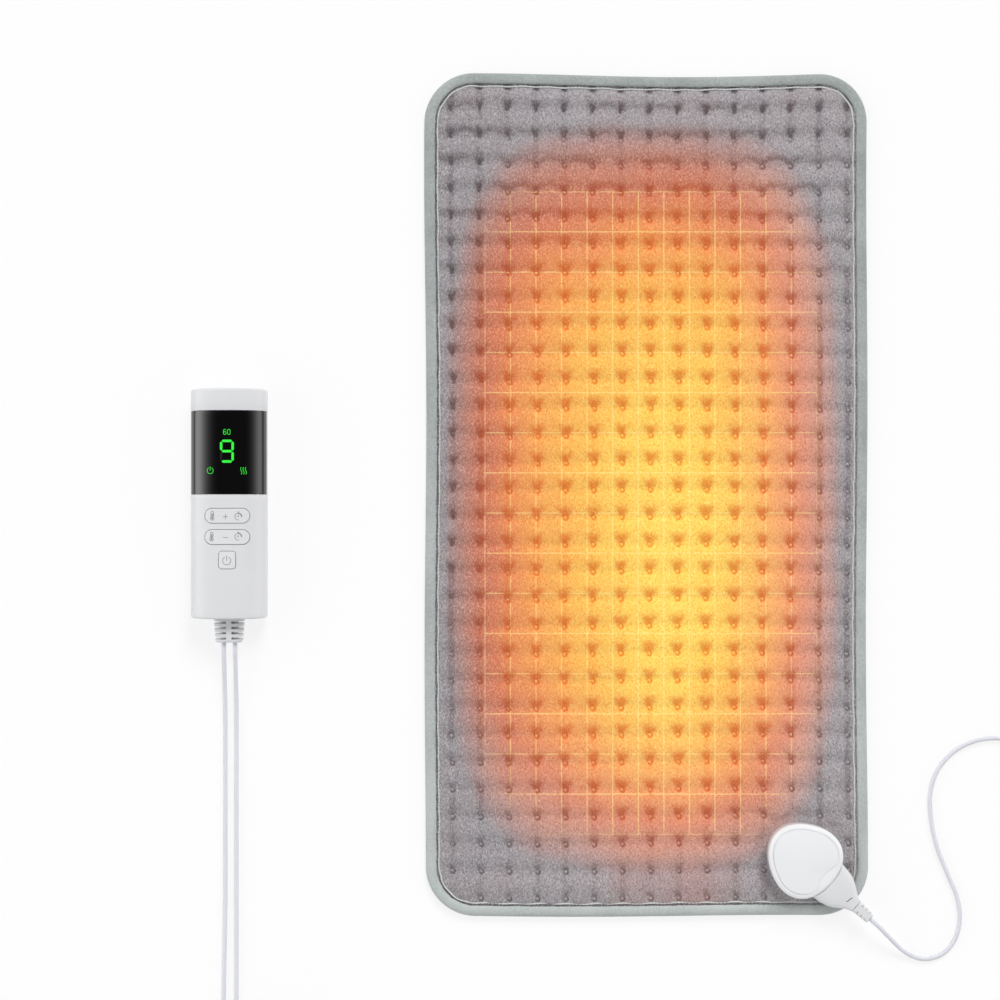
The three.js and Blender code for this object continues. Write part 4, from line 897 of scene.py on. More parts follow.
# %% Tuft beads
sides, dome_rings, dome_top = 12, [(1.12, -0.3), (1.04, 0.3), (0.65, 0.7)], 0.82
around = np.linspace(0, 2 * np.pi, sides, endpoint=False)
rings = [points_of(r * np.cos(around), r * np.sin(around), z) for r, z in dome_rings]
dome = np.vstack([*rings, (0, 0, dome_top)])
last_ring, tip = sides * (len(dome_rings) - 1), len(dome) - 1
dome_faces = skin(len(dome_rings), sides)
dome_faces += [[last_ring + k, last_ring + (k + 1) % sides, tip] for k in range(sides)]
bead_points, bead_faces = [], []
for index, floor_z in sorted(tuft_floor.items()):
    x, y = tufts[index]
    off_edges = smoothstep(x + pad_width / 2, 38, 58) * smoothstep(pad_length / 2 - y, 38, 58)
    shows = max(off_edges, smoothstep(y, -30, -130))
    if shows > 0.05:
        bead_faces += [[len(dome) * len(bead_points) + k for k in face] for face in dome_faces]
        bead_points.append(lie(dome * (1, 1, shows) + (x, y, floor_z)))
tuft_beads = piece_from("tuft_beads", bead_points, bead_faces)
tuft_beads.data.shade_smooth()
between = (tuft_x + tuft_across / 2, tuft_y + tuft_along / 2, 0)
keep_places(tuft_beads, np.tile(between, len(tuft_beads.data.vertices)))
put(tuft_beads, "pad", "flannel", flannel)
print(len(bead_points), "tufts show their beads")

# %% [markdown]
# The back is a plain cover of the same cloth, drawn up a little at every tuft. A coarser grid is
# enough for it. Its outer points are drawn in to one line under the binding, so that the edge runs
# clean round the corners, and a solidify modifier gives it the thickness of the cloth and its
# backing.

# %% Back cover
back_inset, back_thick, back_level = 5, 0.9, 0.05
bx, by = gx[::2, ::2], gy[::2, ::2]
back_keep = inset(bx, by) > -2
flat = np.stack([bx, by], -1)[back_keep]
beyond = np.maximum(np.abs(flat) - (straight_x, straight_y), 0)
outwards = np.sign(flat) * beyond / np.maximum(np.linalg.norm(beyond, axis=1), 0.001)[:, None]
flat -= outwards * np.maximum(back_inset - inset(*flat.T), 0)[:, None]
back_gap = np.array([tuft_tree.find((x, y, 0))[2] for x, y in flat])
back_z = back_level + 0.7 * np.exp(-((back_gap / 3.2) ** 2)) + 0.35 * smoothstep(inset(*flat.T), 16, 9)
face_down = [0, 3, 2, 1]
back_cover = piece_from("back_cloth", lie(points_of(*flat.T, back_z)),
                        grid_faces(back_keep)[:, face_down].tolist())
thick = back_cover.modifiers.new("thick", "SOLIDIFY")
thick.thickness = back_thick * mm
thick.offset = -1
settle(back_cover)
outward(back_cover).data.shade_smooth()
put(back_cover, "pad", "flannel", flannel, "back_cover", "felt_carrier")

# %% [markdown]
# ## Edge binding
# A strip of jersey is folded round the pad's edge and sewn through. Its section is a rounded fold
# with two flaps, swept once round the outline. Small waves along the inner edge are the puckers
# that the sewing draws up.

# %% Outlines
def corner_loop(half_x, half_y, corner, in_corner):
    """A closed rectangle with round corners, with a number of points in each corner."""
    loop = []
    for quarter, (sx, sy) in enumerate([(1, 1), (-1, 1), (-1, -1), (1, -1)]):
        a = np.linspace(0, np.pi / 2, in_corner) + quarter * np.pi / 2
        x, y = sx * (half_x - corner) + corner * np.cos(a), sy * (half_y - corner) + corner * np.sin(a)
        loop.append(np.stack([x, y], 1))
    return np.vstack([*loop, loop[0][:1]])


def evenly(loop, count):
    """Evenly spaced points round a closed loop, and how far round each lies."""
    gone = run_of(loop)
    place = np.linspace(0, gone[-1], count, endpoint=False)
    return np.stack([np.interp(place, gone, loop[:, k]) for k in (0, 1)], 1), place


def rounded(half_x, half_y, corner, count=120):
    """A rectangle with round corners as evenly spaced points."""
    return evenly(corner_loop(half_x, half_y, corner, 16), count)[0]


def outline_points(spacing):
    """Points round the pad's outline with the ways forward and in, and how far round each lies."""
    loop = corner_loop(pad_width / 2, pad_length / 2, pad_corner, 24)
    ring, gone = evenly(loop, round(length_of(loop) / spacing))
    forward = np.roll(ring, -1, 0) - np.roll(ring, 1, 0)
    forward /= np.linalg.norm(forward, axis=1)[:, None]
    return ring, forward, np.stack([-forward[:, 1], forward[:, 0]], 1), gone


def wave(gone, length, start=0):
    return np.sin(2 * np.pi * gone / length + start)

# %% Binding
edge, forward, inward, gone = outline_points(2.2)
fold = [
    (7.6, 4.75), (7.8, 5.3), (7.4, 5.85), (6.5, 6.25), (5.2, 6.4), (3.6, 6.3), (2.2, 5.9), (1.0, 5.2),
    (0.3, 4.2), (0.05, 3.1), (0.3, 2.0), (1.0, 1.1), (2.2, 0.5), (3.8, 0.2), (5.6, 0.1), (7.2, 0.1),
    (8.4, 0.12), (8.75, 0.4), (8.4, 0.7), (5, 0.8), (2.6, 1.2), (1.5, 3.1), (2.6, 4.7), (5, 5.1),
]
mid_level, draw_in, draw_up = 3, 0.22, 0.14
pucker = 0.5 * wave(gone, 9.1) + 0.35 * wave(gone, 6.3, 1) + 0.5 * wave(gone, 23.7, 2)
rings = []
for depth, height in fold:
    taut = smoothstep(depth, 3.5, 7.8)
    flat = edge + inward * (depth + draw_in * taut * pucker)[:, None]
    rings.append(points_of(*flat.T, height + (draw_up * taut * pucker if height > mid_level else 0)))
tape_faces = skin(len(rings), len(edge), joined=True)
edge_tape = outward(piece_from("edge_tape", lie(np.array(rings)), tape_faces))
edge_tape.data.shade_smooth()
put(edge_tape, "pad", "binding_tape", binding_tape, "edge_binding")

# %% [markdown]
# The seam along the binding shows as a light, slightly wavy line of thread. Each stitch is a small
# capsule laid along the line, a little sunk at both ends.

# %% Seam
seam_in, seam_level = 9.75, 5.55
edge, forward, inward, gone = outline_points(2.5)
wander = 0.2 * wave(gone, 19.3) + 0.15 * wave(gone, 47, 1)
seam_line = edge + inward * (seam_in + wander)[:, None]
capsule = [(-1.5, 0.15, -0.25), (-1.2, 0.46, -0.05), (-0.55, 0.6, 0.06),
           (0.55, 0.6, 0.06), (1.2, 0.46, -0.05), (1.5, 0.15, -0.25)]
around = np.linspace(0, 2 * np.pi, 8, endpoint=False)


def stitch(middle, ahead, sideways):
    """The rings of one capsule on the seam."""
    rings = []
    for run, thick, rise in capsule:
        flat = middle + ahead * run + sideways * (thick * np.cos(around))[:, None]
        rings.append(points_of(*flat.T, seam_level + rise + thick * np.sin(around)))
    return rings


seam = lofts("seam_stitches", lie([stitch(*at) for at in zip(seam_line, forward, inward)]))
seam.data.shade_smooth()
put(seam, "pad", "binding_tape", thread)
print(len(seam_line), "stitches")

# %% [markdown]
# ## Pad socket
# The white housing at the pad's corner is a soft three-lobed cap with a wide round edge. A loft of
# lobed rings gives it, and two cuts make it hollow and open the mouth for the plug. Its raised
# panel ends in an S towards the plug, so it is a piece of its own with that outline.

# %% Socket shell
def at_socket(points):
    """From along-plug, across-plug and height to the pad's own axes."""
    p = np.array(points, float)
    u, v = p[..., 0].copy(), p[..., 1].copy()
    p[..., 0] = socket_x + u * math.cos(plug_turn) - v * math.sin(plug_turn)
    p[..., 1] = socket_y + u * math.sin(plug_turn) + v * math.cos(plug_turn)
    return p


def lobed(grow, height, groove=0.0, count=144):
    """A ring of the socket's three-lobed outline; a groove sinks it except on the plug's side."""
    a = np.linspace(0, 2 * np.pi, count, endpoint=False)
    reach = socket_wall(a) + grow
    from_plug = np.minimum(a, 2 * np.pi - a)
    sunk = groove * smoothstep(from_plug, 0.72, 0.84)
    return points_of(reach * np.cos(a), reach * np.sin(a), height - sunk)


cover_bottom, cover_top, cover_round, groove = 6.6, 19.6, 3.0, 0.3
shoulder = [(-cover_round * (1 - math.cos(a)), cover_top - cover_round * (1 - math.sin(a)))
            for a in np.linspace(0, math.pi / 2, 9)]
profile = [(-0.4, cover_bottom), (-0.1, cover_bottom + 0.1), (0, cover_bottom + 0.4), *shoulder,
           (-3.45, cover_top), (-3.6, cover_top, groove), (-4.0, cover_top, groove), (-4.2, cover_top),
           (-14, cover_top)]
room_profile = [(-1.8, 5), (-1.8, 15.5), (-2.6, 17), (-4.5, 17.8)]
socket_shell, socket_room = (loft(name, [at_socket(lobed(*stop)) for stop in stops])
                             for name, stops in (("socket_shell", profile), ("socket_room", room_profile)))
opening = rounded(11.3, 4.2, 1.6, 60)
mouth = loft("mouth", [at_socket(points_of(u, opening[:, 0], plug_level + opening[:, 1])) for u in (4, 45)])
cut(socket_shell, socket_room, mouth)
put(smooth(socket_shell), "pad", "white_shell", white_gloss, "socket_cover")

# %% Socket panel
panel_in = 3.8
s_points = [(22.3, -15.7, 0), (19.6, -7.9, 0), (16.8, -2, 0), (17.5, 8.6, 0), (19.5, 15.8, 0)]
s_line = smooth_route(s_points, 0.7)
ring = lobed(-panel_in, 0, count=240)
ring = ring[ring[:, 0] < np.interp(ring[:, 1], s_line[:, 1], s_line[:, 0]) - 0.2]
ring = ring[np.argsort(np.arctan2(ring[:, 1], ring[:, 0]) % (2 * np.pi))]
edge_gap = np.hypot(s_line[:, 0], s_line[:, 1]) - socket_wall(np.arctan2(s_line[:, 1], s_line[:, 0]))
panel = np.vstack([ring, s_line[edge_gap < -panel_in - 0.15]])
middle = panel.mean(axis=0)
steps = [(1, -0.35), (1, 0.28), (0.994, 0.43), (0.98, 0.5)]
socket_panel = loft("socket_panel", [at_socket((panel - middle) * share + middle + (0, 0, cover_top + rise))
                                     for share, rise in steps])
put(smooth(socket_panel), "pad", "white_shell", white_gloss)

# %% [markdown]
# ## Connector plug
# The plug flares from the neck of the lead to the width of the socket, like a bell seen from above,
# and its front follows the socket's wall. Rings of a squared oval along the plug give that in one
# loft. The parting line between its two halves is a notch in every ring.

# %% Plug shell
plug_front, plug_neck, plug_power = 25.08, 49.08, 0.6
notch_half, notch_floor, notch_deep = 0.17, 0.13, 0.35


def plug_half(u):
    """Half the plug's width and height at a place along it."""
    t = np.clip((u - plug_front + 4) / 28, 0, 1) ** 1.6
    bell = (1 + np.cos(np.pi * t)) / 2
    return (10.6 + 20.6 * bell) / 2, (7.4 + 4.2 * bell) / 2


def plug_ring(u, less):
    """A ring round the plug, with its notches; near the front it is drawn back to the socket's wall."""
    wide, high = plug_half(u)
    wide, high = wide - less, high - less
    lift = np.arcsin((notch_half / high) ** (1 / plug_power))
    a = np.linspace(lift, np.pi - lift, 40)
    top_x = wide * np.sign(np.cos(a)) * np.abs(np.cos(a)) ** plug_power
    top = np.stack([top_x, high * np.sin(a) ** plug_power], 1)
    notch = np.array([(notch_deep - wide, notch_floor), (notch_deep - wide, -notch_floor)])
    loop = np.vstack([top, notch, -top, -notch])
    wall = np.interp(np.abs(loop[:, 0]), [0, 4, 8, 12, 15.6], [1.151, 1.148, 1.132, 1.077, 1.0])
    wall *= socket_reach * math.cos(0.6)
    front = plug_front + plug_gap
    pull = (front - np.minimum(wall, front)) * (1 - smoothstep(u, plug_front, plug_front + 12))
    return points_of(u + plug_gap - pull, loop[:, 0], plug_level + loop[:, 1])


stations = [(plug_front, 0.6), (plug_front + 0.15, 0.2), (plug_front + 0.6, 0)]
stations += [(u, 0) for u in np.linspace(plug_front + 1.5, plug_neck - 0.9, 26)]
stations += [(plug_neck - 0.6, 0.06), (plug_neck - 0.4, 0.25), (plug_neck - 0.3, 0.6)]
plug_shell = loft("plug_shell", [at_socket(plug_ring(u, less)) for u, less in stations])
put(smooth(plug_shell), "handset", "white_shell", white_shell, "plug_upper_shell", "plug_lower_shell")

# %% [markdown]
# The boot behind the plug bends because slots are cut into it from both sides. Each slot is a pill
# shape, round at its inner end, and is cut out of the tapered loft.

# %% Plug boot
slot_low, slot_high = -1, 40
plug_slot_half, plug_slot_reach, plug_spine_half = 0.6, 9, 1.95


def pill(place, at, way, reach, half):
    """A slot tool with a round inner end, from a point outwards one way, cut through the whole height."""
    a = np.linspace(np.pi / 2, 3 * np.pi / 2, 13)
    inner_end = np.stack([half + half * np.cos(a), half * np.sin(a)], 1)
    loop = np.vstack([inner_end, (reach, -half), (reach, half)])
    return prism("slot", place, at + loop @ np.array([way, way[::-1]]), slot_low, slot_high)


def oval(wide, high, count=56, power=0.55):
    """A squared oval, as its two parts."""
    a = np.linspace(0, 2 * np.pi, count, endpoint=False)
    squared = [np.sign(f(a)) * np.abs(f(a)) ** power for f in (np.cos, np.sin)]
    return wide * squared[0], high * squared[1]


boot_start, boot_length, boot_flat = plug_neck + plug_gap, 13.5, 0.698
boot_steps = [(0, 0.4), (0.15, 0.1), (0.5, 0), *((u, 0) for u in np.linspace(1.2, 12.4, 12)),
              (13.1, 0.2), (13.4, 0.5), (boot_length, 0.9)]
boot_rings = []
for u, less in boot_steps:
    wide = 4.7 - 0.9 * u / boot_length - less
    sideways, high = oval(wide, boot_flat * (wide + less) - less)
    boot_rings.append(at_socket(points_of(boot_start + u, sideways, plug_level + high)))
plug_boot = loft("plug_boot_piece", boot_rings)
slot_places = [boot_start + boot_length * k / 4 for k in (1, 2, 3)]
cut(plug_boot, *(pill(at_socket, (u, side * plug_spine_half), (0, side), plug_slot_reach, plug_slot_half)
                 for u in slot_places for side in (1, -1)))
put(smooth(plug_boot), "handset", "white_shell", white_shell, "plug_boot")

# %% [markdown]
# ## Controller
# The hand controller is a long flat oval: the top half is rounder than the lower one, and both are
# lofted along the length from the same formula. The ends bow out slightly towards the top.

# %% Controller section
parting, half_width, half_long, case_depth = 12.6, 27, 80.5, 13
front_power, back_power, end_radius = 2.4, 4, 1.5
wall, room_half_x, room_half_y = 3, 24, 77.5
window_low, window_high = 6.3, 64.9


def at_controller(points):
    """From the controller's own axes to the pad's; its ends lean out towards the top."""
    p = np.array(points, float)
    p[..., 1] *= 1 + 0.0125 * (p[..., 2] - parting) / case_depth
    p[..., 0] += controller_x
    p[..., 1] += controller_y
    return p


def front_height(x, grow=0.0):
    """Height of the controller's front at a distance from its middle line."""
    share = np.clip(np.abs(x) / (half_width + grow), 0, 1)
    return parting + (case_depth + grow) * (1 - share**front_power) ** (1 / front_power)


def section(less, power, count=96):
    """Half an oval from right to left, evenly spaced, rising from the parting line."""
    a = np.linspace(0, np.pi, 1441)
    x = (half_width - less) * np.sign(np.cos(a)) * np.abs(np.cos(a)) ** (2 / power)
    z = (case_depth - less) * np.abs(np.sin(a)) ** (2 / power)
    gone = np.concatenate([[0], np.cumsum(np.hypot(np.diff(x), np.diff(z)))])
    place = np.linspace(0, gone[-1], count)
    return np.interp(place, gone, x), np.interp(place, gone, z)


def end_round(sign):
    """Places along the controller over one rounded end, and how far the section is drawn in at each."""
    stops = [(sign * (half_long - end_radius + end_radius * math.cos(a)), end_radius * (1 - math.sin(a)))
             for a in np.linspace(0, np.pi / 2, 6)]
    return stops if sign > 0 else stops[::-1]


def room(x, z, open_level):
    """The space inside a shell, closed at a level beyond the shell's open side."""
    x, z = np.append(x, [-room_half_x, room_half_x]), np.append(z, [open_level, open_level])
    return loft("room", [at_controller(points_of(x, y, z)) for y in (room_half_y, -room_half_y)])


print("controller", 2 * half_width, "by", 2 * half_long, "mm")

# %% [markdown]
# The front is hollow, with a seat for the black window that wraps over it, an opening for the
# display and a pocket for each key, all cut in. Each pocket's upper edge is softened and follows
# the front's curve.

# %% Front shell
seat_depth, seat_from = 1.8, 1.5
over_case, pocket_floor, display_y, display_floor = 40.0, 13.5, 35.6, 14
keys = {"plus": (15.7, 5.05, 5.04, -8.5), "minus": (15.7, 5.05, 5.04, -23.3),
        "power": (5.9, 6.05, 2.2, -39.2)}


def front_ring(y, less, seat=0.0):
    x, z = section(less, front_power)
    if seat:
        low_x, low_z = section(seat, front_power)
        x, z = np.where(z > seat_from, low_x, x), np.where(z > seat_from, low_z, z)
    return at_controller(points_of(x, y, parting + z))


def key_rings(loops, levels, y):
    """Rings from flat outlines and their heights, at a place along the controller."""
    return at_controller([points_of(loop[:, 0], loop[:, 1] + y, z) for loop, z in zip(loops, levels)])


def key_pocket(half_x, half_y, corner, y):
    soft_edge = [(0.46, 0.02), (0.38, -0.04), (0.31, -0.12), (0.3, -0.4)]
    loops = [rounded(half_x + grow, half_y + grow, corner + grow) for grow, _ in soft_edge]
    levels = [front_height(loop[:, 0]) + lift for loop, (_, lift) in zip(loops, soft_edge)]
    return loft("pocket", key_rings([loops[0], *loops, loops[-1]], [over_case, *levels, pocket_floor], y))


seat_edge = [(0.2, 0), (0.06, 0.05), (0, 0.16)]
stops = [*end_round(1), (72, 0), *((window_high + gone, less) for gone, less in seat_edge),
         (window_high, 0.16, seat_depth), (window_low, 0.16, seat_depth),
         *((window_low - gone, less) for gone, less in reversed(seat_edge)),
         *((y, 0) for y in np.linspace(3, -76, 28)), *end_round(-1)]
front_shell = loft("front_case", [front_ring(*stop) for stop in stops])
inner_x, inner_z = section(wall, front_power, 64)
display_outline = rounded(13.5, 23.3, 2, 48) + (0, display_y)
display_hole = prism("display_hole", at_controller, display_outline, display_floor, over_case)
cut(front_shell, room(inner_x, parting + inner_z, parting - 2), display_hole,
    *(key_pocket(*key) for key in keys.values()))
put(smooth(front_shell, 30), "handset", "white_shell", white_shell, "front_shell")

# %% [markdown]
# The rear shell is flatter, so that the controller lies steady on a table. It has a recess for each
# of its four screws.

# %% Rear shell
screw_x, screw_y, recess_floor, step_down = 18.5, 67.5, 2.95, 0.4


def rear_ring(y, less):
    x, z = section(less, back_power)
    return at_controller(points_of(x, y, np.maximum(parting - np.maximum(z, step_down), less)))


stops = [*end_round(1), *((y, 0) for y in np.linspace(76, -76, 20)), *end_round(-1)]
rear_shell = loft("rear_case", [rear_ring(*stop) for stop in stops])
inner_x, inner_z = section(wall, back_power, 64)
screw_hole = rounded(2.8, 2.8, 2.79, 40)
recesses = [prism("recess", at_controller, screw_hole + (x, y), -2, recess_floor)
            for x in (-screw_x, screw_x) for y in (-screw_y, screw_y)]
cut(rear_shell, room(inner_x, np.maximum(parting - inner_z, wall), 20), *recesses)
put(smooth(rear_shell, 30), "handset", "white_shell", white_shell, "rear_shell")

# %% [markdown]
# The window is one bent strip of glossy black plastic. Its section is the front's own oval between
# two depths, and its edges are eased so that each catches a thin line of light.

# %% Window
window_thick, window_from = 1.5, 1.75


def window_ring(y, less):
    x, z = [], []
    for depth, start, end, count in ((less, 0, 1, 110), (window_thick, 1, 0, 60)):
        side_x, side_z = section(depth, front_power, 160)
        shown = side_z > window_from
        place, known = np.linspace(start, end, count), np.linspace(0, 1, shown.sum())
        x.append(np.interp(place, known, side_x[shown]))
        z.append(np.interp(place, known, side_z[shown]))
    return at_controller(points_of(np.concatenate(x), y, parting + np.concatenate(z)))


eased = [(0.1, 0.4), (0.14, 0.2), (0.25, 0.06), (0.45, 0.02)]
window_stops = [(window_high - gone, less) for gone, less in eased]
window_stops += [(y, 0.02) for y in np.linspace(window_high - 4, window_low + 4, 10)]
window_stops += [(window_low + gone, less) for gone, less in reversed(eased)]
window_strip = loft("window_strip", [window_ring(*stop) for stop in window_stops])
put(smooth(window_strip, 40), "handset", "black_window", black_window, "display_window")

# %% [markdown]
# ## Keys
# The two rocker keys and the square power key follow the front's curve and stand a little proud of
# it. Each is built from its own outline, drawn in step by step over the rounded edge to the middle.

# %% Key caps
key_proud, cap_flat = 0.4, 1.9


def key_cap(name, node, half_x, half_y, corner, y):
    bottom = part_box(node)[0].z / mm
    round_edge = [(0, -0.4), (-0.05, -0.18), (-0.17, -0.05), (-0.4, 0), (-1.1, 0), (-cap_flat, 0)]
    loops = [rounded(half_x + grow, half_y + grow, max(corner + grow, 0.05)) for grow, _ in round_edge]
    levels = [front_height(loop[:, 0], key_proud) + lift for loop, (_, lift) in zip(loops, round_edge)]
    last_x, last_y = loops[-1].T
    for share in (0.75, 0.5, 0.25, 0.06):
        x = last_x * share
        if half_x > 2 * half_y:
            x = np.sign(last_x) * np.maximum(np.abs(last_x) - (1 - share) * (half_y - cap_flat), 0)
        loops.append(np.stack([x, last_y * share], 1))
        levels.append(front_height(x, key_proud))
    return smooth(loft(name, key_rings([loops[0], *loops], [bottom, *levels], y)), 40)


key_bodies = {"plus": ("plus_rocker", "plus_key"), "minus": ("minus_rocker", "minus_key"),
              "power": ("power_key", "power_button")}
for name, (node, body) in key_bodies.items():
    put(key_cap(name + "_cap", node, *keys[name]), body, "white_keys", white_keys, node)

# %% [markdown]
# ## Signs and display
# The signs on the keys are grey print, and the display shows green figures through the window. Each
# is made of flat strokes that follow a path and lie a hair above the surface, so they stay sharp at
# any distance.

# %% Strokes
def line(a, b, count=12):
    return np.linspace(a, b, count)


def arc(x, y, radius, start, end, count=28):
    a = np.radians(np.linspace(start, end, count))
    return np.stack([x + radius * np.cos(a), y + radius * np.sin(a)], 1)


def to_left(path):
    """The way to the left of a path at each of its points."""
    ahead = np.gradient(path, axis=0)
    if np.allclose(path[0], path[-1]):
        ahead[0] = ahead[-1] = path[1] - path[-2]
    ahead /= np.linalg.norm(ahead, axis=1)[:, None]
    return np.stack([-ahead[:, 1], ahead[:, 0]], 1)


def strokes(name, paths, width, height, tapered=False):
    """Flat strokes along paths on the controller, at the height that a function gives across it."""
    points, faces = [], []
    for path in map(np.asarray, paths):
        half = np.full(len(path), width / 2)
        if tapered:
            gone = run_of(path)
            half = np.minimum(half, 0.03 + np.minimum(gone, gone[-1] - gone))
        first = len(points)
        for middle, out in zip(path, to_left(path) * half[:, None]):
            points += [middle + out, middle - out]
        faces += [[k, k + 1, k + 3, k + 2] for k in range(first, len(points) - 2, 2)]
    flat = np.array(points)
    places = at_controller(points_of(*flat.T, height(flat[:, 0])))
    return outward(piece_from(name, places, faces), upward=True)

# %% Signs on the keys
ink_proud, key_line, power_line = 0.03, 0.42, 0.46


def power_sign(x, y, radius):
    """A broken ring with an upright stroke."""
    return [arc(x, y, radius, 118, 422, 44), line((x, y), (x, y + 1.3 * radius))]


def thermometer(x, y):
    """Outline, filled column with its bulb, and the scale at its side."""
    half, bulb_y = 0.86, y - 1.85
    bulb = arc(x, bulb_y, 1.28, 132, 408, 30)
    top = arc(x, y + 2.3, half, 0, 180, 14)
    glass = [bulb[-1], (x + half, y + 2.2), *top, (x - half, y + 2.2), bulb[0]]
    column = [line((x + k * 0.2, y - 1.6), (x + k * 0.2, y + 1.5)) for k in (-1, 0, 1)]
    drop = [arc(x, bulb_y, r, 0, 360, 24) for r in (0.2, 0.5)]
    scale = [line((x + 0.95, y + h), (x + 1.35, y + h), 3) for h in (1.9, 1.3, 0.7, 0.1)]
    return [bulb, glass, *column, *drop, *scale]


def stopwatch(x, y):
    """A dial with a bold quarter, its knob and side button, and the hands."""
    dial = 2.33
    bold = [arc(x, y, dial + k * 0.17, 92, -8, 20) for k in (-1, 0, 1)]
    knob = [line((x - 0.75, y + 3.25), (x + 0.75, y + 3.25), 5), line((x, y + 2.4), (x, y + 3.2), 4)]
    button = line((x - 2.45, y + 1.45), (x - 2.1, y + 1.2), 3)
    hands = [line((x, y), (x, y + 1.2), 4), line((x, y), (x - 0.9, y), 4)]
    return [*bold, arc(x, y, dial, 92, 285, 34), *knob, button, *hands]


def on_key(x):
    return front_height(x, key_proud) + ink_proud


plus_y, minus_y, power_y = (key[3] for key in keys.values())
plus_signs = [*thermometer(-10.5, plus_y + 0.1), *stopwatch(7.9, plus_y - 0.6),
              line((-2.9, plus_y - 0.6), (0.7, plus_y - 0.6)),
              line((-1.1, plus_y - 2.4), (-1.1, plus_y + 1.2))]
minus_signs = [*thermometer(-10.9, minus_y + 0.4), *stopwatch(7.9, minus_y + 0.3),
               line((-2.8, minus_y - 0.2), (0.8, minus_y - 0.2))]
power_signs = power_sign(-0.2, power_y - 0.5, 2.83)
put(strokes("plus_signs", plus_signs, key_line, on_key), "plus_key", "white_keys", key_ink)
put(strokes("minus_signs", minus_signs, key_line, on_key), "minus_key", "white_keys", key_ink)
put(strokes("power_signs", power_signs, power_line, on_key), "power_button", "white_keys", key_ink)

# %% [markdown]
# The large figure is made of seven bars with pointed ends, of which six are lit. The small figures,
# the power sign and the heat waves are thin lines.

# %% Display
lit_proud, bar_width, bar_gap, thin_line = 0.01, 1.7, 0.4, 0.34
left_x, right_x, top_y, middle_y, low_y = -4.16, 3.9, 43.5, 36.35, 29.2


def on_window(x):
    return front_height(x) + lit_proud


def bar(a, b):
    """One bar of the figure, a little short of both its ends."""
    a, b = np.array(a, float), np.array(b, float)
    ahead = (b - a) / np.linalg.norm(b - a)
    return line(a + bar_gap * ahead, b - bar_gap * ahead, 40)


lit = [bar((left_x, y), (right_x, y)) for y in (top_y, middle_y, low_y)]
lit += [bar((left_x, middle_y), (left_x, top_y)), bar((right_x, middle_y), (right_x, top_y)),
        bar((right_x, low_y), (right_x, middle_y))]
unlit = [bar((left_x, low_y), (left_x, middle_y))]
for name, bars, finish in (("level_figure", lit, lit_green), ("level_figure_off", unlit, unlit_segment)):
    put(strokes(name, bars, bar_width, on_window, tapered=True), "handset", "black_window", finish)
six = smooth_route([(x, y, 0) for x, y in [
    (0.85, 1.3), (0.5, 1.68), (0, 1.76), (-0.55, 1.6), (-0.93, 1.0), (-0.95, 0), (-0.93, -1),
    (-0.55, -1.6), (0, -1.76), (0.55, -1.6), (0.93, -1.0), (0.93, -0.5), (0.55, 0.1), (0, 0.26),
    (-0.55, 0.1), (-0.9, -0.5),
]], 0.2)[:, :2]
nought = rounded(0.95, 1.76, 0.85, 48)
nought = np.vstack([nought, nought[:1]])
sway = 0.42 * np.sin(np.linspace(0, 2 * np.pi, 24))
waves = [np.stack([x + sway, np.linspace(20.3, 25.3, 24)], 1) for x in (9.9, 11.5, 13.1)]
minutes = [six + (-1.6, 49.7), nought + (1.2, 49.7)]
display_signs = [*minutes, *power_sign(-12, 22.9, 2.15), *waves]
put(strokes("display_signs", display_signs, thin_line, on_window), "handset", "black_window", lit_green)

# %% [markdown]
# ## Controller boot
# Both leads leave through one flat boot with four rows of slots, which open outwards on each side
# and leave a spine in the middle. Two round cores keep the leads in the slots.

# %% Twin boot
twin_start, twin_length, core_radius = -half_long - 0.3, 17.4, 2.5
first_slot, slot_pitch, slot_half, slot_reach, spine_half = 3.075, 3.75, 0.85, 14, 1.8
twin_steps = [(0, 0.5), (0.2, 0.12), (0.6, 0), *((gone, 0) for gone in np.linspace(1.5, 15.8, 14)),
              (16.7, 0.3), (17.2, 0.8), (twin_length, 1.4)]
twin_rings = []
for gone, less in twin_steps:
    x, z = oval(11 - 1.35 * gone / twin_length - less, 5.5 - 0.8 * gone / twin_length - less, 72, 0.5)
    twin_rings.append(at_controller(points_of(x, twin_start - gone, boot_axis + z)))
twin_boot = loft("twin_boot_piece", twin_rings)
slot_rows = [twin_start - first_slot - slot_pitch * k for k in range(4)]
cut(twin_boot, *(pill(at_controller, (side * spine_half, y), (side, 0), slot_reach, slot_half)
                 for y in slot_rows for side in (1, -1)))
put(smooth(twin_boot), "handset", "white_shell", white_shell, "twin_boot")
core_x, core_z = oval(core_radius, core_radius, 32, 1)
cores = [[points_of(x + core_x, twin_start - gone, boot_axis + core_z) for gone in (0.5, 9, 16.9)]
         for x in (-lead_apart, lead_apart)]
boot_cores = lofts("boot_cores", at_controller(cores))
put(smooth(boot_cores), "handset", "white_shell", white_shell)

# %% [markdown]
# A small dark mark across the plug shows which way up it goes. It is one short bent stroke on the
# plug's back.

# %% Plug mark
mark_half = 0.3
mark_points = [(41.5, -2.1, 0), (42.0, -1.2, 0), (42.2, 0.3, 0), (42.4, 1.7, 0), (43.0, 2.6, 0)]
mark = smooth_route(mark_points, 0.25)[:, :2]
out = to_left(mark) * mark_half
flat = np.vstack([mark + out, mark - out])
wide, high = plug_half(flat[:, 0] - plug_gap)
rise = high * np.sqrt(1 - np.minimum(np.abs(flat[:, 1]) / wide, 1) ** (2 / plug_power)) ** plug_power
n = len(mark)
plug_mark = piece_from("plug_mark", at_socket(points_of(*flat.T, plug_level + rise + ink_proud)),
                       [[k, n + k, n + k + 1, k + 1] for k in range(n - 1)])
put(plug_mark, "handset", "white_shell", dark_ink)

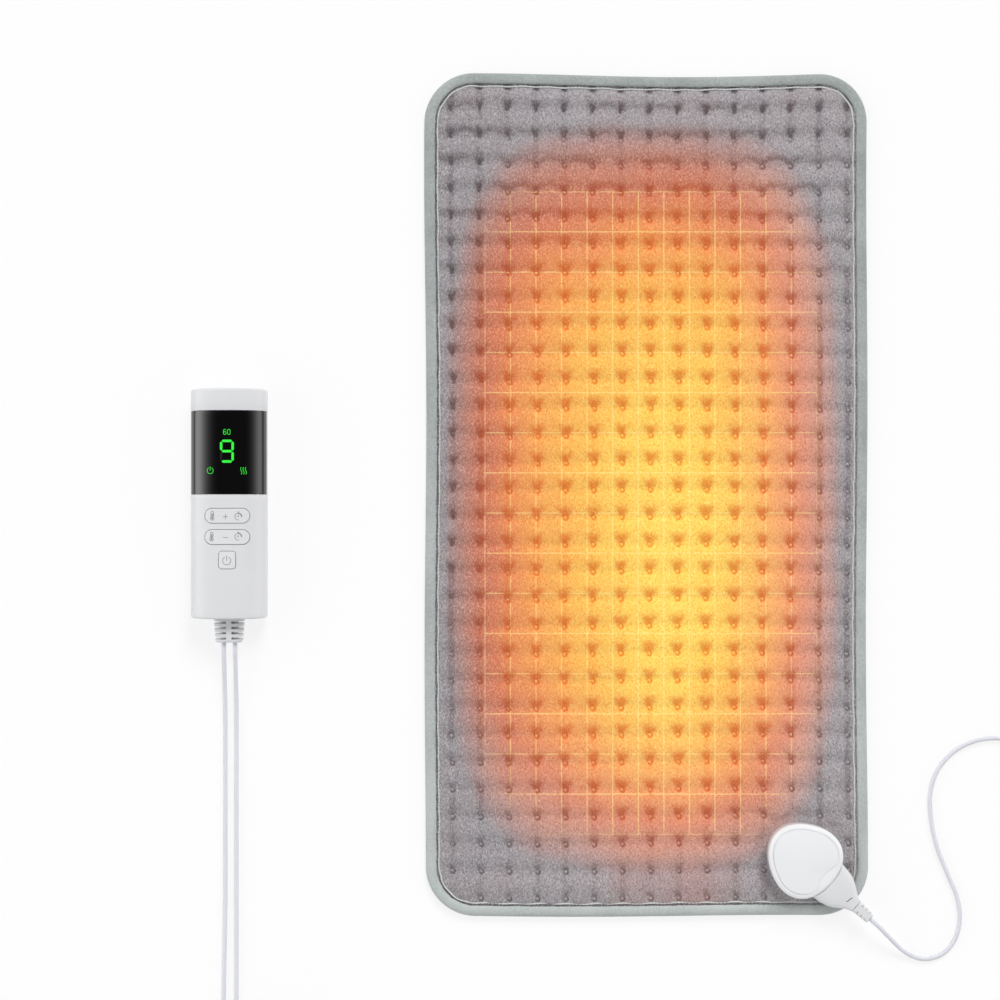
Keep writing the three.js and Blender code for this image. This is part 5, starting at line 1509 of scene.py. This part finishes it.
# %% [markdown]
# ## Mains plug
# The mains plug is a small moulded block that widens from the lead to its flat face. It is a loft
# of rounded rectangles along the lead, and the face's edge is eased like that of any moulding.

# %% Mains plug
plug_low, plug_high = (np.array(corner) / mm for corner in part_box("mains_plug_body"))
plug_middle = (plug_low + plug_high) / 2
plug_shape = [
    (0, 5.4, 5.0), (0.2, 6.2, 5.7), (0.8, 6.9, 6.2), (2.5, 8.0, 6.8), (5, 9.4, 7.4), (8, 10.7, 7.9),
    (11, 11.4, 8.2), (14, 11.6, 8.25), (20, 11.8, 8.35), (24.6, 11.95, 8.4), (25.4, 11.8, 8.25),
    (25.85, 11.4, 7.85), (26, 10.9, 7.35),
]
plug_rings = []
for gone, wide, high in plug_shape:
    sideways, rise = rounded(wide, high, 0.55 * high, 96).T
    plug_rings.append(points_of(plug_low[0] + gone, plug_middle[1] + sideways, plug_middle[2] + rise))
mains_plug = smooth(loft("mains_plug_shell", plug_rings))
put(mains_plug, "handset", "white_cord", white_shell, "mains_plug_body")

# %% [markdown]
# ## Solids that stay
# The inner parts, pins, blades and screws keep the shape of their solids and only get a finish
# each.

# %% Finishes for the solids
def numbered(name, count):
    return [f"{name}_{k}" for k in range(1, count + 1)]


finishes = {
    white_gloss: ["socket_base"],
    brass: [*numbered("heater_terminal", 2), *numbered("socket_pin", 3), *numbered("contact_sleeve", 3),
            *numbered("mains_blade", 2)],
    steel: [*numbered("socket_screw", 2), *numbered("case_screw", 4)],
    grey_insulator: ["pin_block", "contact_block"],
    dark_plastic: ["triac", "overheat_cutout", "display_module", "switch_plus_left", "switch_plus_right",
                   "switch_minus_left", "switch_minus_right", "switch_power", "coil_tie"],
    circuit_board: ["terminal_board", "circuit_board"],
    ochre_film: ["film_capacitor"],
    green_plastic: ["terminal_block"],
    fuse_glass: ["fuse"],
    heater_insulation: ["heating_wire"],
    white_cord: ["mains_plug_boot"],
}
for finish, nodes in finishes.items():
    for node in nodes:
        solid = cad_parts[node]
        solid.data.materials.clear()
        solid.data.materials.append(finish)
print(sum(len(nodes) for nodes in finishes.values()), "solids finished")

# %% [markdown]
# ## Floor and light
# The floor is white by itself, and the camera sees part of it as a plain white, which keeps the
# shadows light.

# %% Floor
floor_half, floor_level, plain_share = 4000, -0.1, 0.8
quarters = [(-1, -1), (1, -1), (1, 1), (-1, 1)]
corners = [(x * floor_half, y * floor_half, floor_level) for x, y in quarters]
floor = piece_from("floor", corners, [[0, 1, 2, 3]])
white_floor, shader, entry = new_finish("white_floor", (0.9, 0.9, 0.9, 1), 0.9, Specular_IOR_Level=0.0)
rays = entry.node("LightPath")
seen = rays.at_least(rays.other("Is Glossy Ray")).at_least(rays.other("Is Transmission Ray"))
plain = entry.node("Emission", None, {"Color": (1, 1, 1, 1), "Strength": 1.0})
lit_floor = Shade(entry.tree, shader.outputs[0])
mixed = entry.node("MixShader", None, {0: seen * plain_share, 1: lit_floor, 2: plain})
entry.tree.links.new(mixed.socket, entry.tree.nodes["Material Output"].inputs["Surface"])
floor.data.materials.append(white_floor)
print("floor", 2 * floor_half * mm, "m wide")

# %% [markdown]
# The picture is lit softly from its top edge, slightly right, on a white ground. A wide sun gives
# that direction with even strength over the whole pad. The sky is dark overhead and bright towards
# the sides, so the black window shows its two bands of light and stays black in the middle. The sun
# itself isn't mirrored in the window.

# %% Sky and sun
sky = bpy.data.worlds.new("studio")
sky.use_nodes = True
scene.world = sky
entry = Shade(sky.node_tree)
background = sky.node_tree.nodes["Background"]
background.inputs["Color"].default_value = (1, 1, 1, 1)
way = entry.node("SeparateXYZ", None, {0: entry.node("TexCoord", output=0)})
up_way = way.other(2)
band = up_way.ease(0.98, 0.5) * up_way.ease(-0.05, 0.35)
facing = way / (1.0001 - up_way * up_way) ** 0.5
sky_left, sky_right = (0 - facing).ease(0.55, 1.0), facing.ease(0.55, 1.0)
sky_foot = (0 - way.other(1)).ease(0.35, 0.8)
level = band * (0.40 + sky_left * 1.9 + sky_right * 0.9 + sky_foot * 0.6) + 0.02
level = level.at_least(entry.node("LightPath"))
sky.node_tree.links.new(level.socket, background.inputs["Strength"])

sun = bpy.data.objects.new("sun", bpy.data.lights.new("sun", "SUN"))
sun.data.energy = 2.15
sun.data.angle = math.radians(26)
sun.rotation_euler = Vector((-0.35, -1.1, -0.95)).to_track_quat("-Z", "Y").to_euler()
sun.visible_glossy = False
scene.collection.objects.link(sun)
print("light set")

# %% [markdown]
# ## Last update
# The view layer is brought up to date.

# %% Finish
bpy.context.view_layer.update()
